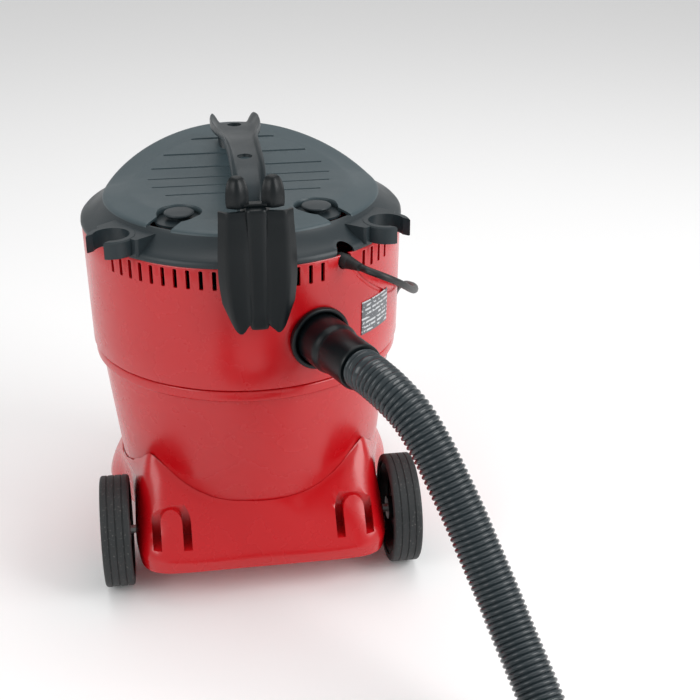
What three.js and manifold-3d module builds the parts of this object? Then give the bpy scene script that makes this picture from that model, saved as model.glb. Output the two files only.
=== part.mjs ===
// Wet and dry shop vacuum: wheeled chassis, tapered container, lift-off motor head, suction hose and mains lead.
// Millimetres, +Z up. The origin is on the floor under the drum's axis, the front is +Y and the right side,
// seen from behind, is +X.
import * as THREE from "three";
import { mergeVertices } from "three/addons/utils/BufferGeometryUtils.js";
import Module from "manifold-3d";

const wasm = await Module();
wasm.setup();

// ---- Driving dimensions ----
const GAP = 0.3; // between pieces that touch
const FIT = 0.5; // between a piece and the bore or pocket that it turns or slides in
const BIG = 700; // reach of a cutting block, past everything it cuts

const WALL = 3.5; // moulded shells
const DRUM_SIDES = 36;
const ROUND_SIDES = 18;
const SMALL_SIDES = 8;

const HOUSING_RADIUS = 184; // of the head; the radii below follow it

const CONTAINER_BOTTOM = 60;
const CONTAINER_FOOT_RADIUS = HOUSING_RADIUS - 30.5;
const CONTAINER_TOP_RADIUS = HOUSING_RADIUS - 7;
const SEAM_HEIGHT = 270;
const RIM_HEIGHT = 12;
const RIM_RADIUS = HOUSING_RADIUS - 2;

const HOUSING_TOP_RADIUS = HOUSING_RADIUS + 3;
const SKIRT_BOTTOM = 416;
const VENT_HEIGHT = 25;
const VENT_WIDTH = 4.6;
const VENT_STEP = 4.5; // degrees round the housing

const LID_RADIUS = HOUSING_RADIUS - 23;
const LID_REAR_HEIGHT = 452;
const LID_THICKNESS = 7;
const LID_FRONT_RISE = 37;
const LID_RISE_START = 30; // ahead of the axis
const SKIRT_NECK_RADIUS = HOUSING_RADIUS - 27;

const GROOVE_COUNT = 6;
const GROOVE_STEP = 31.2;
const GROOVE_FIRST_Y = -36;
const GROOVE_WIDTH = 3;
const GROOVE_DEPTH = 2;
const GROOVE_FIELD_RADIUS = 108;
const GROOVE_FIELD_Y = 25;

const PEG_X = 76;
const PEG_Y = -95;
const PEG_DISC_RADIUS = 16;
const PEG_RECESS_RADIUS = 25;

const CLIP_ANGLE = 50.8; // degrees from the rear, either side
const CLIP_REACH = HOUSING_RADIUS + 10;
const CLIP_INNER_RADIUS = 20;
const CLIP_WALL = 7;
const CLIP_HEIGHT = 20;
const CLIP_TOP = 440;

const GRIP_TOP = 517;
const GRIP_WIDTH = 38;
const EAR_TOP = 520;
const EAR_X = 18.5;

const CHASSIS_BOTTOM = 45;
const CHASSIS_REAR = HOUSING_RADIUS + 12;
const CHASSIS_HALF_WIDTH = HOUSING_RADIUS - 34;
const CHASSIS_FRONT_RADIUS = HOUSING_RADIUS + 2;
const CHASSIS_LIP_HEIGHT = 114;
const FENDER_RISE = 48;
const FENDER_ANGLE = 49; // degrees from the rear, either side

const WHEEL_RADIUS = 66;
const WHEEL_WIDTH = 34;
const WHEEL_Y = -122;
const WHEEL_OUTER_X = HOUSING_RADIUS + 4;
const AXLE_RADIUS = 5;

const CASTER_X = HOUSING_RADIUS - 89;
const CASTER_Y = HOUSING_RADIUS - 52;
const CASTER_WHEEL_RADIUS = 19;
const CASTER_WHEEL_WIDTH = 18;
const CASTER_TRAIL = 16;
const CASTER_STEM_RADIUS = 5;

const PORT_ANGLE = 21.2; // degrees from the rear, towards the right
const PORT_HEIGHT = 326;
const PORT_BORE_RADIUS = 30;
const PORT_RIM_RADIUS = PORT_BORE_RADIUS + 6;
const PORT_MOUTH = HOUSING_RADIUS + 9; // from the axis
const PORT_DEPTH = 48;

const CUFF_PLUG_RADIUS = PORT_BORE_RADIUS - 1;
const CUFF_PLUG_LENGTH = 44;
const CUFF_NECK_RADIUS = 26;
const CUFF_NECK_LENGTH = 52;
const CUFF_INSERTED = 12;
const HOSE_RADIUS = 23;
const HOSE_BORE_RADIUS = 19;
const HOSE_SIDES = 12;
const HOSE_COIL_RADIUS = 262; // of the outer turn's middle; the inner turn lies beside it
const HOSE_TURN_STEP = 47;
const HOSE_COIL_CENTRE = [-6.4, -780];
const END_CUFF_LENGTH = 90;
const END_CUFF_RADIUS = 26;

const CABLE_RADIUS = 4;
const CABLE_SIDES = 8;
const CABLE_COIL_RADIUS = 64;
const CABLE_COIL_TURNS = 4; // across the winding, and as many layers
const CABLE_COIL_CENTRE = [18, 322];
const CABLE_ANGLE = 31.9; // degrees from the rear, towards the right
const CABLE_HEIGHT = 408;

const HOLDER_WIDTH = 83;
const HOLDER_TOP = 487;
const HOLDER_BOTTOM = 352;
const HOLDER_CORE_WIDTH = 32;
const HOLDER_REAR = HOUSING_RADIUS + 29;

const INLET_RADIUS = 33;
const INLET_BORE_RADIUS = 29;
const INLET_HEIGHT = SEAM_HEIGHT - 56;
const INLET_FRONT = HOUSING_RADIUS + 29;

const DECK_THICKNESS = 5;
const MOTOR_RADIUS = 66;
const MOTOR_HEIGHT = 92;
const SHAFT_RADIUS = 5;
const FAN_RADIUS = 54;
const FILTER_RADIUS = 84;
const FILTER_HEIGHT = 128;
const CAGE_RADIUS = 66;
const FLOAT_RADIUS = 30;
const FLOAT_HEIGHT = 34;
const FLOAT_TRAVEL = 30;

const LATCH_ANGLE = 118; // degrees from the rear, either side
const LATCH_WIDTH = 42;
const LATCH_PIVOT_HEIGHT = 306;
const LATCH_PIVOT_RADIUS = HOUSING_RADIUS + 12;
const LATCH_PIN_RADIUS = 2.5;

const PANEL_HALF_ANGLE = 34;
const PANEL_BOTTOM = 296;
const PANEL_TOP = 404;
const PANEL_THICKNESS = 4;
const SWITCH_X = -52;
const REGULATOR_X = 52;
const KNOB_HEIGHT = 352;
const SOCKET_SIZE = 50;
const SOCKET_HEIGHT = 350;

const PLATE_ANGLE = 48.7;
const PLATE_WIDTH = 54;
const PLATE_HEIGHT = 40;
const PLATE_CENTRE_HEIGHT = 330;

// ---- Colours and finishes ----
const finish = (colour, roughness, metalness = 0) =>
  new THREE.MeshStandardMaterial({ color: colour, roughness, metalness });
const red = finish(0xc43738, 0.35);
const charcoal = finish(0x505a5c, 0.55);
const slate = finish(0x5f6e72, 0.5);
const black = finish(0x15232a, 0.5);
const rubber = finish(0x1a1e20, 0.85);
const steel = finish(0xb4b8bb, 0.3, 1);
const paper = finish(0xe8e3d6, 0.9);
const foilWhite = finish(0xe6e7e8, 0.45);
const copper = finish(0xb0703c, 0.4, 0.9);
const greenBoard = finish(0x2e6b45, 0.6);

// ---- Geometry tools ----
const radians = THREE.MathUtils.degToRad;

// A closed geometry as a solid, its faces turned outwards.
function solid(geometry) {
  const bare = geometry.clone();
  bare.deleteAttribute("normal");
  bare.deleteAttribute("uv");
  const merged = mergeVertices(bare, 1e-3);
  const vertProperties = merged.attributes.position.array;
  const triVerts = new Uint32Array(merged.index.array);
  const made = new wasm.Manifold(new wasm.Mesh({ numProp: 3, vertProperties, triVerts }));
  if (made.volume() > 0) return made;
  triVerts.reverse();
  return new wasm.Manifold(new wasm.Mesh({ numProp: 3, vertProperties, triVerts }));
}

const join = (...solids) => solids.reduce((whole, next) => whole.add(next));
const cut = (body, ...tools) => tools.reduce((rest, tool) => rest.subtract(tool), body);

// A closed profile of [radius, height] points turned about Z.
function turned(profile, sides = DRUM_SIDES) {
  const points = profile.map(([r, z]) => new THREE.Vector2(r, z));
  if (profile[0][0] > 0) points.push(points[0].clone());
  return solid(new THREE.LatheGeometry(points, sides).rotateX(Math.PI / 2));
}

// The same, turned about any line: the profile's height runs along it from its start.
function turnedAlong(profile, start, direction, sides = ROUND_SIDES) {
  const points = profile.map(([r, z]) => new THREE.Vector2(r, z));
  if (profile[0][0] > 0) points.push(points[0].clone());
  const geometry = new THREE.LatheGeometry(points, sides);
  const turn = new THREE.Quaternion().setFromUnitVectors(
    new THREE.Vector3(0, 1, 0),
    new THREE.Vector3(...direction).normalize(),
  );
  return solid(geometry.applyQuaternion(turn).translate(...start));
}

const rod = (radius, length) => [
  [0, 0],
  [radius, 0],
  [radius, length],
  [0, length],
];

const pipe = (inner, outer, length) => [
  [inner, 0],
  [outer, 0],
  [outer, length],
  [inner, length],
];

// A box from its least to its greatest corner.
function block(low, high) {
  const size = high.map((value, i) => value - low[i]);
  const centre = high.map((value, i) => (value + low[i]) / 2);
  return solid(new THREE.BoxGeometry(...size).translate(...centre));
}

// A box turned about Z by the angle from the rear, its low corner and high corner given as
// [across, outwards, up].
function radialBlock(angle, low, high) {
  const size = high.map((value, i) => value - low[i]);
  const centre = high.map((value, i) => (value + low[i]) / 2);
  const geometry = new THREE.BoxGeometry(...size).translate(centre[0], -centre[1], centre[2]);
  return solid(geometry.rotateZ(radians(angle)));
}

// A flat outline of [across, up] points, standing in the XZ plane and as thick as depth along Y from y.
function standing(outline, y, depth) {
  const shape = new THREE.Shape(outline.map(([x, z]) => new THREE.Vector2(x, z)));
  const geometry = new THREE.ExtrudeGeometry(shape, { depth, bevelEnabled: false });
  return solid(geometry.rotateX(Math.PI / 2).translate(0, y + depth, 0));
}

// A side outline of [y, z] points, as wide as width across X about the middle.
function sideOutline(outline, width) {
  const shape = new THREE.Shape(outline.map(([y, z]) => new THREE.Vector2(y, z)));
  const geometry = new THREE.ExtrudeGeometry(shape, { depth: width, bevelEnabled: false });
  const axes = new THREE.Matrix4().makeBasis(
    new THREE.Vector3(0, 1, 0),
    new THREE.Vector3(0, 0, 1),
    new THREE.Vector3(1, 0, 0),
  );
  return solid(geometry.applyMatrix4(axes).translate(-width / 2, 0, 0));
}

// A closed skin over rings of points, all with the same count, with a flat cap at each end.
function lofted(rings) {
  const count = rings[0].length;
  const centres = [rings[0], rings[rings.length - 1]].map((ring) =>
    ring.reduce((sum, p) => sum.add(p), new THREE.Vector3()).divideScalar(count),
  );
  const points = [...rings.flat(), ...centres];
  const index = [];
  const last = (rings.length - 1) * count;
  for (let i = 0; i < count; i++) {
    const next = (i + 1) % count;
    for (let k = 0; k < rings.length - 1; k++) {
      const a = k * count + i;
      const b = k * count + next;
      index.push(a, b, b + count, a, b + count, a + count);
    }
    index.push(points.length - 2, next, i);
    index.push(points.length - 1, last + i, last + next);
  }
  const geometry = new THREE.BufferGeometry().setFromPoints(points);
  geometry.setIndex(index);
  return solid(geometry);
}

// A round tube along a smooth line through the points.
function tube(points, radius, sides, steps) {
  const corners = [];
  for (let i = 0; i < sides; i++) {
    const a = (i / sides) * 2 * Math.PI;
    corners.push(new THREE.Vector2(radius * Math.cos(a), radius * Math.sin(a)));
  }
  const extrudePath = new THREE.CatmullRomCurve3(
    points.map((p) => new THREE.Vector3(...p)),
    false,
    "centripetal",
  );
  return solid(new THREE.ExtrudeGeometry(new THREE.Shape(corners), { steps, extrudePath }));
}

const vacuum = new THREE.Group();

function addPiece(name, made, material) {
  const { vertProperties, triVerts } = made.getMesh();
  const geometry = new THREE.BufferGeometry();
  geometry.setAttribute("position", new THREE.BufferAttribute(vertProperties, 3));
  geometry.setIndex(new THREE.BufferAttribute(triVerts, 1));
  geometry.computeVertexNormals();
  const mesh = new THREE.Mesh(geometry, material);
  mesh.name = name;
  vacuum.add(mesh);
  return mesh;
}

// ---- Shared shapes ----
// The unit vector that points out from the axis at an angle from the rear.
const outwards = (angle) => [Math.sin(radians(angle)), -Math.cos(radians(angle)), 0];

function from(angle, radius, height) {
  const [x, y] = outwards(angle);
  return [x * radius, y * radius, height];
}

const sides = [
  ["left", -1],
  ["right", 1],
];

const CONTAINER_TOP = SEAM_HEIGHT - GAP - 1;
const containerTaper =
  (CONTAINER_TOP_RADIUS - CONTAINER_FOOT_RADIUS) / (CONTAINER_TOP - CONTAINER_BOTTOM);
const containerRadius = (z) => CONTAINER_FOOT_RADIUS + containerTaper * (z - CONTAINER_BOTTOM);

// The lid's upper face is level at the rear and curls up towards the front.
function lidHeight(y) {
  const rise = Math.max(0, y - LID_RISE_START) / (LID_RADIUS - LID_RISE_START);
  return LID_REAR_HEIGHT + LID_FRONT_RISE * rise ** 1.6;
}

// Everything under the lid's upper face, lowered by drop.
function underLid(drop) {
  const outline = [
    [-BIG, 0],
    [-BIG, LID_REAR_HEIGHT - drop],
  ];
  const steps = 10;
  for (let i = 0; i <= steps; i++) {
    const y = LID_RISE_START + ((LID_RADIUS + 12 - LID_RISE_START) * i) / steps;
    outline.push([y, lidHeight(y) - drop]);
  }
  outline.push([BIG, lidHeight(LID_RADIUS + 12) - drop]);
  outline.push([BIG, 0]);
  return sideOutline(outline, BIG);
}

const lidUnderside = LID_THICKNESS + GAP;

// ---- Chassis ----
// The chassis outline at its foot: a straight rear between the wheels and a round front.
function chassisReach(angle) {
  const rear = CHASSIS_REAR / Math.max(Math.cos(radians(angle)), 0.05);
  const side = CHASSIS_HALF_WIDTH / Math.max(Math.abs(Math.sin(radians(angle))), 0.05);
  const square = (rear ** -9 + side ** -9) ** (-1 / 9);
  const past = THREE.MathUtils.smoothstep(Math.abs(angle), 72, 106);
  return square * (1 - past) + CHASSIS_FRONT_RADIUS * past;
}

// Its upper edge rises to a pointed fender ahead of each wheel's middle.
function chassisTop(angle) {
  const away = Math.abs(Math.abs(angle) - FENDER_ANGLE);
  return CHASSIS_LIP_HEIGHT + FENDER_RISE * Math.max(0, 1 - away / 34) ** 1.7;
}

// The chassis's outside, drawn in by inset, from foot up to its upper edge lowered by drop.
function chassisSkin(inset, drop, foot) {
  const count = 2 * DRUM_SIDES;
  const shelves = [0, 0.3, 0.62, 1];
  const rings = shelves.map((t) => {
    const ring = [];
    for (let i = 0; i < count; i++) {
      const angle = ((i + 0.5) / count) * 360 - 180;
      const top = chassisTop(angle) - drop;
      const lip = containerRadius(top) + WALL - inset;
      const widest = chassisReach(angle) - inset;
      const reach = widest + (lip - widest) * t ** 1.6;
      ring.push(new THREE.Vector3(...from(angle, reach, foot + (top - foot) * t)));
    }
    return ring;
  });
  return lofted(rings);
}

// The container's outside, grown by a margin, from its foot up.
function containerRoom(margin, foot) {
  return turned([
    [0, foot],
    [containerRadius(foot) + margin, foot],
    [containerRadius(SEAM_HEIGHT) + margin, SEAM_HEIGHT],
    [0, SEAM_HEIGHT],
  ]);
}

const AXLE_INNER_X = HOUSING_RADIUS - 66;
const axleStart = (side) => [side * AXLE_INNER_X, WHEEL_Y, WHEEL_RADIUS];
const CASTER_BOSS_TOP = 92;
const casterPlace = (side) => [side * CASTER_X, CASTER_Y, 0];

function chassis() {
  const tray = containerRoom(WALL + FIT, CHASSIS_BOTTOM - 2);
  const hollow = cut(chassisSkin(WALL, WALL + 2, CHASSIS_BOTTOM - 1), tray);
  let body = cut(chassisSkin(0, 0, CHASSIS_BOTTOM), hollow);
  for (const [, side] of sides) {
    const bossLength = CHASSIS_HALF_WIDTH - AXLE_INNER_X;
    const boss = turnedAlong(rod(AXLE_RADIUS + 6, bossLength), axleStart(side), [side, 0, 0], SMALL_SIDES);
    const [x, y] = casterPlace(side);
    const seat = turnedAlong(
      rod(CASTER_STEM_RADIUS + 7, CASTER_BOSS_TOP - CHASSIS_BOTTOM),
      [x, y, CHASSIS_BOTTOM],
      [0, 0, 1],
      SMALL_SIDES,
    );
    body = join(body, boss, seat);
  }
  body = cut(body, containerRoom(GAP + 0.5, CONTAINER_BOTTOM - GAP));
  for (const [, side] of sides) {
    const [x, y] = casterPlace(side);
    const bore = CASTER_STEM_RADIUS + FIT;
    body = cut(
      body,
      turnedAlong(rod(AXLE_RADIUS + GAP, 80), axleStart(side), [side, 0, 0], SMALL_SIDES),
      turnedAlong(rod(bore, CASTER_BOSS_TOP - CHASSIS_BOTTOM - 4), [x, y, CHASSIS_BOTTOM - 2], [0, 0, 1], SMALL_SIDES),
    );
  }
  addPiece("chassis", body, red);
}

function rearWheels() {
  for (const [name, side] of sides) {
    const inner = side * (WHEEL_OUTER_X - WHEEL_WIDTH);
    const start = [inner, WHEEL_Y, WHEEL_RADIUS];
    const hubRadius = WHEEL_RADIUS - 9;
    const bore = AXLE_RADIUS + FIT;
    const rim = [
      [bore, 2],
      [14, 2],
      [14, 12],
      [hubRadius - 6, 12],
      [hubRadius - 3, 2],
      [hubRadius, 2],
      [hubRadius, WHEEL_WIDTH - 2],
      [hubRadius - 4, WHEEL_WIDTH - 2],
      [hubRadius - 7, WHEEL_WIDTH - 9],
      [16, WHEEL_WIDTH - 9],
      [16, WHEEL_WIDTH - 5],
      [bore, WHEEL_WIDTH - 5],
    ];
    const tyre = [
      [hubRadius + GAP, 0],
      [WHEEL_RADIUS - 3, 0],
      [WHEEL_RADIUS, 4],
      [WHEEL_RADIUS, WHEEL_WIDTH - 4],
      [WHEEL_RADIUS - 3, WHEEL_WIDTH],
      [hubRadius + GAP, WHEEL_WIDTH],
    ];
    const cap = rod(15, 3.5);
    const capStart = [inner + side * (WHEEL_WIDTH - 5 + GAP), WHEEL_Y, WHEEL_RADIUS];
    const axleLength = WHEEL_OUTER_X - 5 - 1 - AXLE_INNER_X - GAP;
    addPiece(`wheel_rim_${name}`, turnedAlong(rim, start, [side, 0, 0]), black);
    addPiece(`wheel_tyre_${name}`, turnedAlong(tyre, start, [side, 0, 0], DRUM_SIDES), rubber);
    addPiece(`wheel_cap_${name}`, turnedAlong(cap, capStart, [side, 0, 0]), black);
    const axle = turnedAlong(
      rod(AXLE_RADIUS, axleLength),
      [side * (AXLE_INNER_X + GAP), WHEEL_Y, WHEEL_RADIUS],
      [side, 0, 0],
      SMALL_SIDES,
    );
    addPiece(`wheel_axle_${name}`, axle, steel);
  }
}

function casters() {
  const axisY = CASTER_Y - CASTER_TRAIL;
  const forkInner = CASTER_WHEEL_WIDTH / 2 + FIT;
  const forkOuter = forkInner + 3;
  const forkTop = CHASSIS_BOTTOM - FIT;
  const pinRadius = 2.5;
  for (const [name, side] of sides) {
    const [x] = casterPlace(side);
    const pinLine = [x - forkOuter, axisY, CASTER_WHEEL_RADIUS];
    const bearing = CASTER_WHEEL_RADIUS - 8;
    let fork = block([x - forkOuter, axisY - 9, forkTop - 3], [x + forkOuter, CASTER_Y + 9, forkTop]);
    fork = join(
      fork,
      turnedAlong(rod(11, 3), [x, CASTER_Y, forkTop - 3], [0, 0, 1]),
      turnedAlong(rod(CASTER_STEM_RADIUS, 40), [x, CASTER_Y, forkTop - 1], [0, 0, 1], SMALL_SIDES),
    );
    for (const wing of [-1, 1]) {
      const near = x + wing * forkInner;
      const far = x + wing * forkOuter;
      const low = [Math.min(near, far), axisY - 9, bearing];
      fork = join(fork, block(low, [Math.max(near, far), axisY + 9, forkTop - 1]));
    }
    const pinBore = rod(pinRadius + GAP, 2 * forkOuter + 2);
    fork = cut(fork, turnedAlong(pinBore, [pinLine[0] - 1, pinLine[1], pinLine[2]], [1, 0, 0], SMALL_SIDES));
    const wheel = [
      [pinRadius + FIT, 0],
      [CASTER_WHEEL_RADIUS - 3, 0],
      [CASTER_WHEEL_RADIUS, 3],
      [CASTER_WHEEL_RADIUS, CASTER_WHEEL_WIDTH - 3],
      [CASTER_WHEEL_RADIUS - 3, CASTER_WHEEL_WIDTH],
      [pinRadius + FIT, CASTER_WHEEL_WIDTH],
    ];
    const wheelStart = [x - CASTER_WHEEL_WIDTH / 2, axisY, CASTER_WHEEL_RADIUS];
    addPiece(`caster_fork_${name}`, fork, black);
    addPiece(`caster_wheel_${name}`, turnedAlong(wheel, wheelStart, [1, 0, 0]), rubber);
    addPiece(`caster_pin_${name}`, turnedAlong(rod(pinRadius, 2 * forkOuter), pinLine, [1, 0, 0], SMALL_SIDES), steel);
  }
}

// ---- Container ----
function container() {
  const rimFoot = CONTAINER_TOP - RIM_HEIGHT;
  const inner = (z) => containerRadius(z) - WALL;
  const floor = CONTAINER_BOTTOM + WALL;
  let body = turned([
    [0, CONTAINER_BOTTOM],
    [containerRadius(CONTAINER_BOTTOM), CONTAINER_BOTTOM],
    [containerRadius(rimFoot), rimFoot],
    [RIM_RADIUS, rimFoot],
    [RIM_RADIUS, CONTAINER_TOP],
    [inner(CONTAINER_TOP), CONTAINER_TOP],
    [inner(floor), floor],
    [0, floor],
  ]);
  const length = 60;
  body = cut(
    body,
    turnedAlong(rod(INLET_RADIUS + GAP, length), [0, INLET_FRONT - length, INLET_HEIGHT], [0, 1, 0]),
  );
  addPiece("container", body, red);
  const sealTop = SEAM_HEIGHT - GAP;
  const seal = turned([
    [inner(CONTAINER_TOP) + 1, CONTAINER_TOP + GAP],
    [RIM_RADIUS - 1, CONTAINER_TOP + GAP],
    [RIM_RADIUS - 1, sealTop],
    [inner(CONTAINER_TOP) + 1, sealTop],
  ]);
  addPiece("rim_seal", seal, rubber);
}

function inlet() {
  const flangeRadius = INLET_RADIUS + 8;
  const flangeFace = containerRadius(INLET_HEIGHT + flangeRadius) + GAP;
  const behind = containerRadius(INLET_HEIGHT) - 30;
  const length = INLET_FRONT - behind;
  const flange = [
    [INLET_BORE_RADIUS, 0],
    [INLET_RADIUS, 0],
    [INLET_RADIUS, flangeFace - behind],
    [flangeRadius, flangeFace - behind],
    [flangeRadius, flangeFace + 4 - behind],
    [INLET_RADIUS + 1, flangeFace + 6 - behind],
    [INLET_RADIUS + 1, length],
    [INLET_BORE_RADIUS, length],
  ];
  addPiece("suction_inlet", turnedAlong(flange, [0, behind, INLET_HEIGHT], [0, 1, 0]), black);
  const gap = behind - GAP;
  const hood = cut(
    turnedAlong(pipe(INLET_BORE_RADIUS, INLET_RADIUS, 26), [0, gap - 26, INLET_HEIGHT], [0, 1, 0]),
    block([-INLET_RADIUS - 1, gap - 27, INLET_HEIGHT - BIG / 2], [0, gap - 6, INLET_HEIGHT + BIG / 2]),
  );
  addPiece("inlet_deflector", hood, black);
}

// ---- Motor head ----
const housingRadius = (z) =>
  HOUSING_RADIUS +
  ((HOUSING_TOP_RADIUS - HOUSING_RADIUS) * (z - SEAM_HEIGHT)) / (SKIRT_BOTTOM - SEAM_HEIGHT);

function latchLugs(grow) {
  const lugs = [];
  for (const [, side] of sides) {
    for (const end of [-1, 1]) {
      const near = LATCH_WIDTH / 2 + FIT;
      const across = [end * near, end * (near + 4)].sort((a, b) => a - b);
      lugs.push(
        radialBlock(
          side * LATCH_ANGLE,
          [across[0] - grow, HOUSING_RADIUS - 3, LATCH_PIVOT_HEIGHT - 6 - grow],
          [across[1] + grow, LATCH_PIVOT_RADIUS + 5, LATCH_PIVOT_HEIGHT + 6 + grow],
        ),
      );
    }
  }
  return lugs;
}

// The line of a latch's pin, through both lugs and past them by extra at each end.
const latchPinStart = (side, extra = 0) => {
  const half = LATCH_WIDTH / 2 + FIT + 4 + extra;
  const [x, y] = outwards(side * LATCH_ANGLE);
  const [tx, ty] = [-y, x];
  const centre = [x * LATCH_PIVOT_RADIUS, y * LATCH_PIVOT_RADIUS];
  return {
    start: [centre[0] - tx * half, centre[1] - ty * half, LATCH_PIVOT_HEIGHT],
    direction: [tx, ty, 0],
    length: 2 * half,
  };
};

function headHousing() {
  const top = SKIRT_BOTTOM - GAP;
  const flange = HOUSING_RADIUS - WALL - 6;
  let body = turned([
    [HOUSING_RADIUS, SEAM_HEIGHT],
    [housingRadius(top), top],
    [housingRadius(top) - WALL, top],
    [HOUSING_RADIUS - WALL, SEAM_HEIGHT + WALL],
    [flange, SEAM_HEIGHT + WALL],
    [flange, SEAM_HEIGHT],
  ]);
  body = join(body, ...latchLugs(0));
  const vents = [];
  for (let angle = -4 * VENT_STEP; angle > -60; angle -= VENT_STEP) vents.push(angle);
  for (let angle = 4 * VENT_STEP; angle < 60; angle += VENT_STEP) vents.push(angle);
  for (const angle of vents) {
    if (Math.abs(angle - CABLE_ANGLE) < 8) continue;
    body = cut(
      body,
      radialBlock(
        angle,
        [-VENT_WIDTH / 2, HOUSING_RADIUS - 12, SKIRT_BOTTOM - VENT_HEIGHT],
        [VENT_WIDTH / 2, HOUSING_RADIUS + 12, SKIRT_BOTTOM - 3],
      ),
    );
  }
  const portHole = turnedAlong(
    rod(PORT_BORE_RADIUS + WALL + GAP, 60),
    from(PORT_ANGLE, HOUSING_RADIUS - 30, PORT_HEIGHT),
    outwards(PORT_ANGLE),
  );
  const knobHoles = [SWITCH_X, REGULATOR_X].map((x) =>
    turnedAlong(rod(5, 60), [x, HOUSING_RADIUS - 45, KNOB_HEIGHT], [0, 1, 0], SMALL_SIDES),
  );
  const socketHole = block(
    [-SOCKET_SIZE / 2 - GAP, HOUSING_RADIUS - 20, SOCKET_HEIGHT - SOCKET_SIZE / 2 - GAP],
    [SOCKET_SIZE / 2 + GAP, HOUSING_RADIUS + 20, SOCKET_HEIGHT + SOCKET_SIZE / 2 + GAP],
  );
  const pinHoles = sides.map(([, side]) => {
    const { start, direction, length } = latchPinStart(side, 2);
    return turnedAlong(rod(LATCH_PIN_RADIUS + GAP, length), start, direction, SMALL_SIDES);
  });
  const cableHole = turnedAlong(
    rod(CABLE_RADIUS + 4 + GAP, 40),
    from(CABLE_ANGLE, HOUSING_RADIUS - 20, CABLE_HEIGHT),
    outwards(CABLE_ANGLE),
    SMALL_SIDES,
  );
  addPiece("head_housing", cut(body, portHole, ...knobHoles, socketHole, ...pinHoles, cableHole), red);
}

function headSkirt() {
  const top = 520;
  const outside = [
    [HOUSING_TOP_RADIUS + 1, SKIRT_BOTTOM],
    [HOUSING_TOP_RADIUS + 1, SKIRT_BOTTOM + 5],
    [176, SKIRT_BOTTOM + 12],
    [166, SKIRT_BOTTOM + 21],
    [SKIRT_NECK_RADIUS, SKIRT_BOTTOM + 31],
    [SKIRT_NECK_RADIUS, top],
  ];
  const inside = outside.map(([r, z]) => [r - WALL, z]).reverse();
  let body = turned([...outside, ...inside]);
  for (const [, side] of sides) {
    const [x, y] = from(side * CLIP_ANGLE, CLIP_REACH, 0);
    const angle = side * CLIP_ANGLE;
    const clipBottom = CLIP_TOP - CLIP_HEIGHT;
    const outer = CLIP_INNER_RADIUS + CLIP_WALL;
    const ring = turnedAlong(rod(outer, CLIP_HEIGHT), [x, y, clipBottom], [0, 0, 1]);
    const web = radialBlock(angle, [-outer - 8, 160, clipBottom], [outer + 8, CLIP_REACH - 8, CLIP_TOP]);
    const hole = turnedAlong(rod(CLIP_INNER_RADIUS, 60), [x, y, clipBottom - 20], [0, 0, 1]);
    const mouth = radialBlock(angle, [-16, CLIP_REACH, clipBottom - 1], [16, CLIP_REACH + 60, CLIP_TOP + 1]);
    body = cut(join(body, ring, web), hole, mouth);
  }
  const inner = turned([
    [0, SKIRT_BOTTOM - 5],
    ...outside.map(([r, z]) => [r - WALL, z]).map(([r, z], i) => [r, i === 0 ? z - 5 : z]),
    [0, top],
  ]);
  body = cut(body, inner).intersect(underLid(lidUnderside));
  const notch = turnedAlong(
    rod(CABLE_RADIUS + 8, 60),
    from(CABLE_ANGLE, HOUSING_TOP_RADIUS - 30, SKIRT_BOTTOM),
    outwards(CABLE_ANGLE),
    SMALL_SIDES,
  );
  addPiece("head_skirt", cut(body, notch), charcoal);
}

const pegPlace = (side) => [side * PEG_X, PEG_Y, LID_REAR_HEIGHT];

function lid() {
  const disc = turned([
    [0, LID_REAR_HEIGHT - 20],
    [LID_RADIUS, LID_REAR_HEIGHT - 20],
    [LID_RADIUS, LID_REAR_HEIGHT + 60],
    [0, LID_REAR_HEIGHT + 60],
  ]);
  let body = cut(disc.intersect(underLid(0)), underLid(LID_THICKNESS));
  for (let i = 0; i < GROOVE_COUNT; i++) {
    const y = GROOVE_FIRST_Y + GROOVE_STEP * i;
    const half = Math.sqrt(GROOVE_FIELD_RADIUS ** 2 - (y - GROOVE_FIELD_Y) ** 2);
    const z = lidHeight(y);
    const w = GROOVE_WIDTH / 2;
    body = cut(body, block([-half, y - w, z - GROOVE_DEPTH], [half, y + w, z + 10]));
  }
  for (const [, side] of sides) {
    const [x, y, z] = pegPlace(side);
    const recess = turnedAlong(rod(PEG_RECESS_RADIUS, 20), [x, y, z - 12], [0, 0, 1]);
    const angle = (Math.atan2(x, -y) * 180) / Math.PI;
    const reach = Math.hypot(x, y);
    const way = radialBlock(angle, [-15, reach, z - 12], [15, LID_RADIUS + 5, z + 8]);
    body = cut(body, recess, way);
  }
  addPiece("top_lid", body, slate);
}

function pegs() {
  const flangeTop = LID_REAR_HEIGHT - LID_THICKNESS - GAP;
  for (const [name, side] of sides) {
    const [x, y] = pegPlace(side);
    const profile = [
      [0, 0],
      [PEG_RECESS_RADIUS + 3, 0],
      [PEG_RECESS_RADIUS + 3, 3],
      [PEG_DISC_RADIUS - 6, 3],
      [PEG_DISC_RADIUS - 6, 7],
      [PEG_DISC_RADIUS, 9],
      [PEG_DISC_RADIUS, LID_THICKNESS + GAP + 3],
      [0, LID_THICKNESS + GAP + 4],
    ];
    addPiece(`parking_peg_${name}`, turnedAlong(profile, [x, y, flangeTop - 3], [0, 0, 1]), slate);
  }
}

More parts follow.
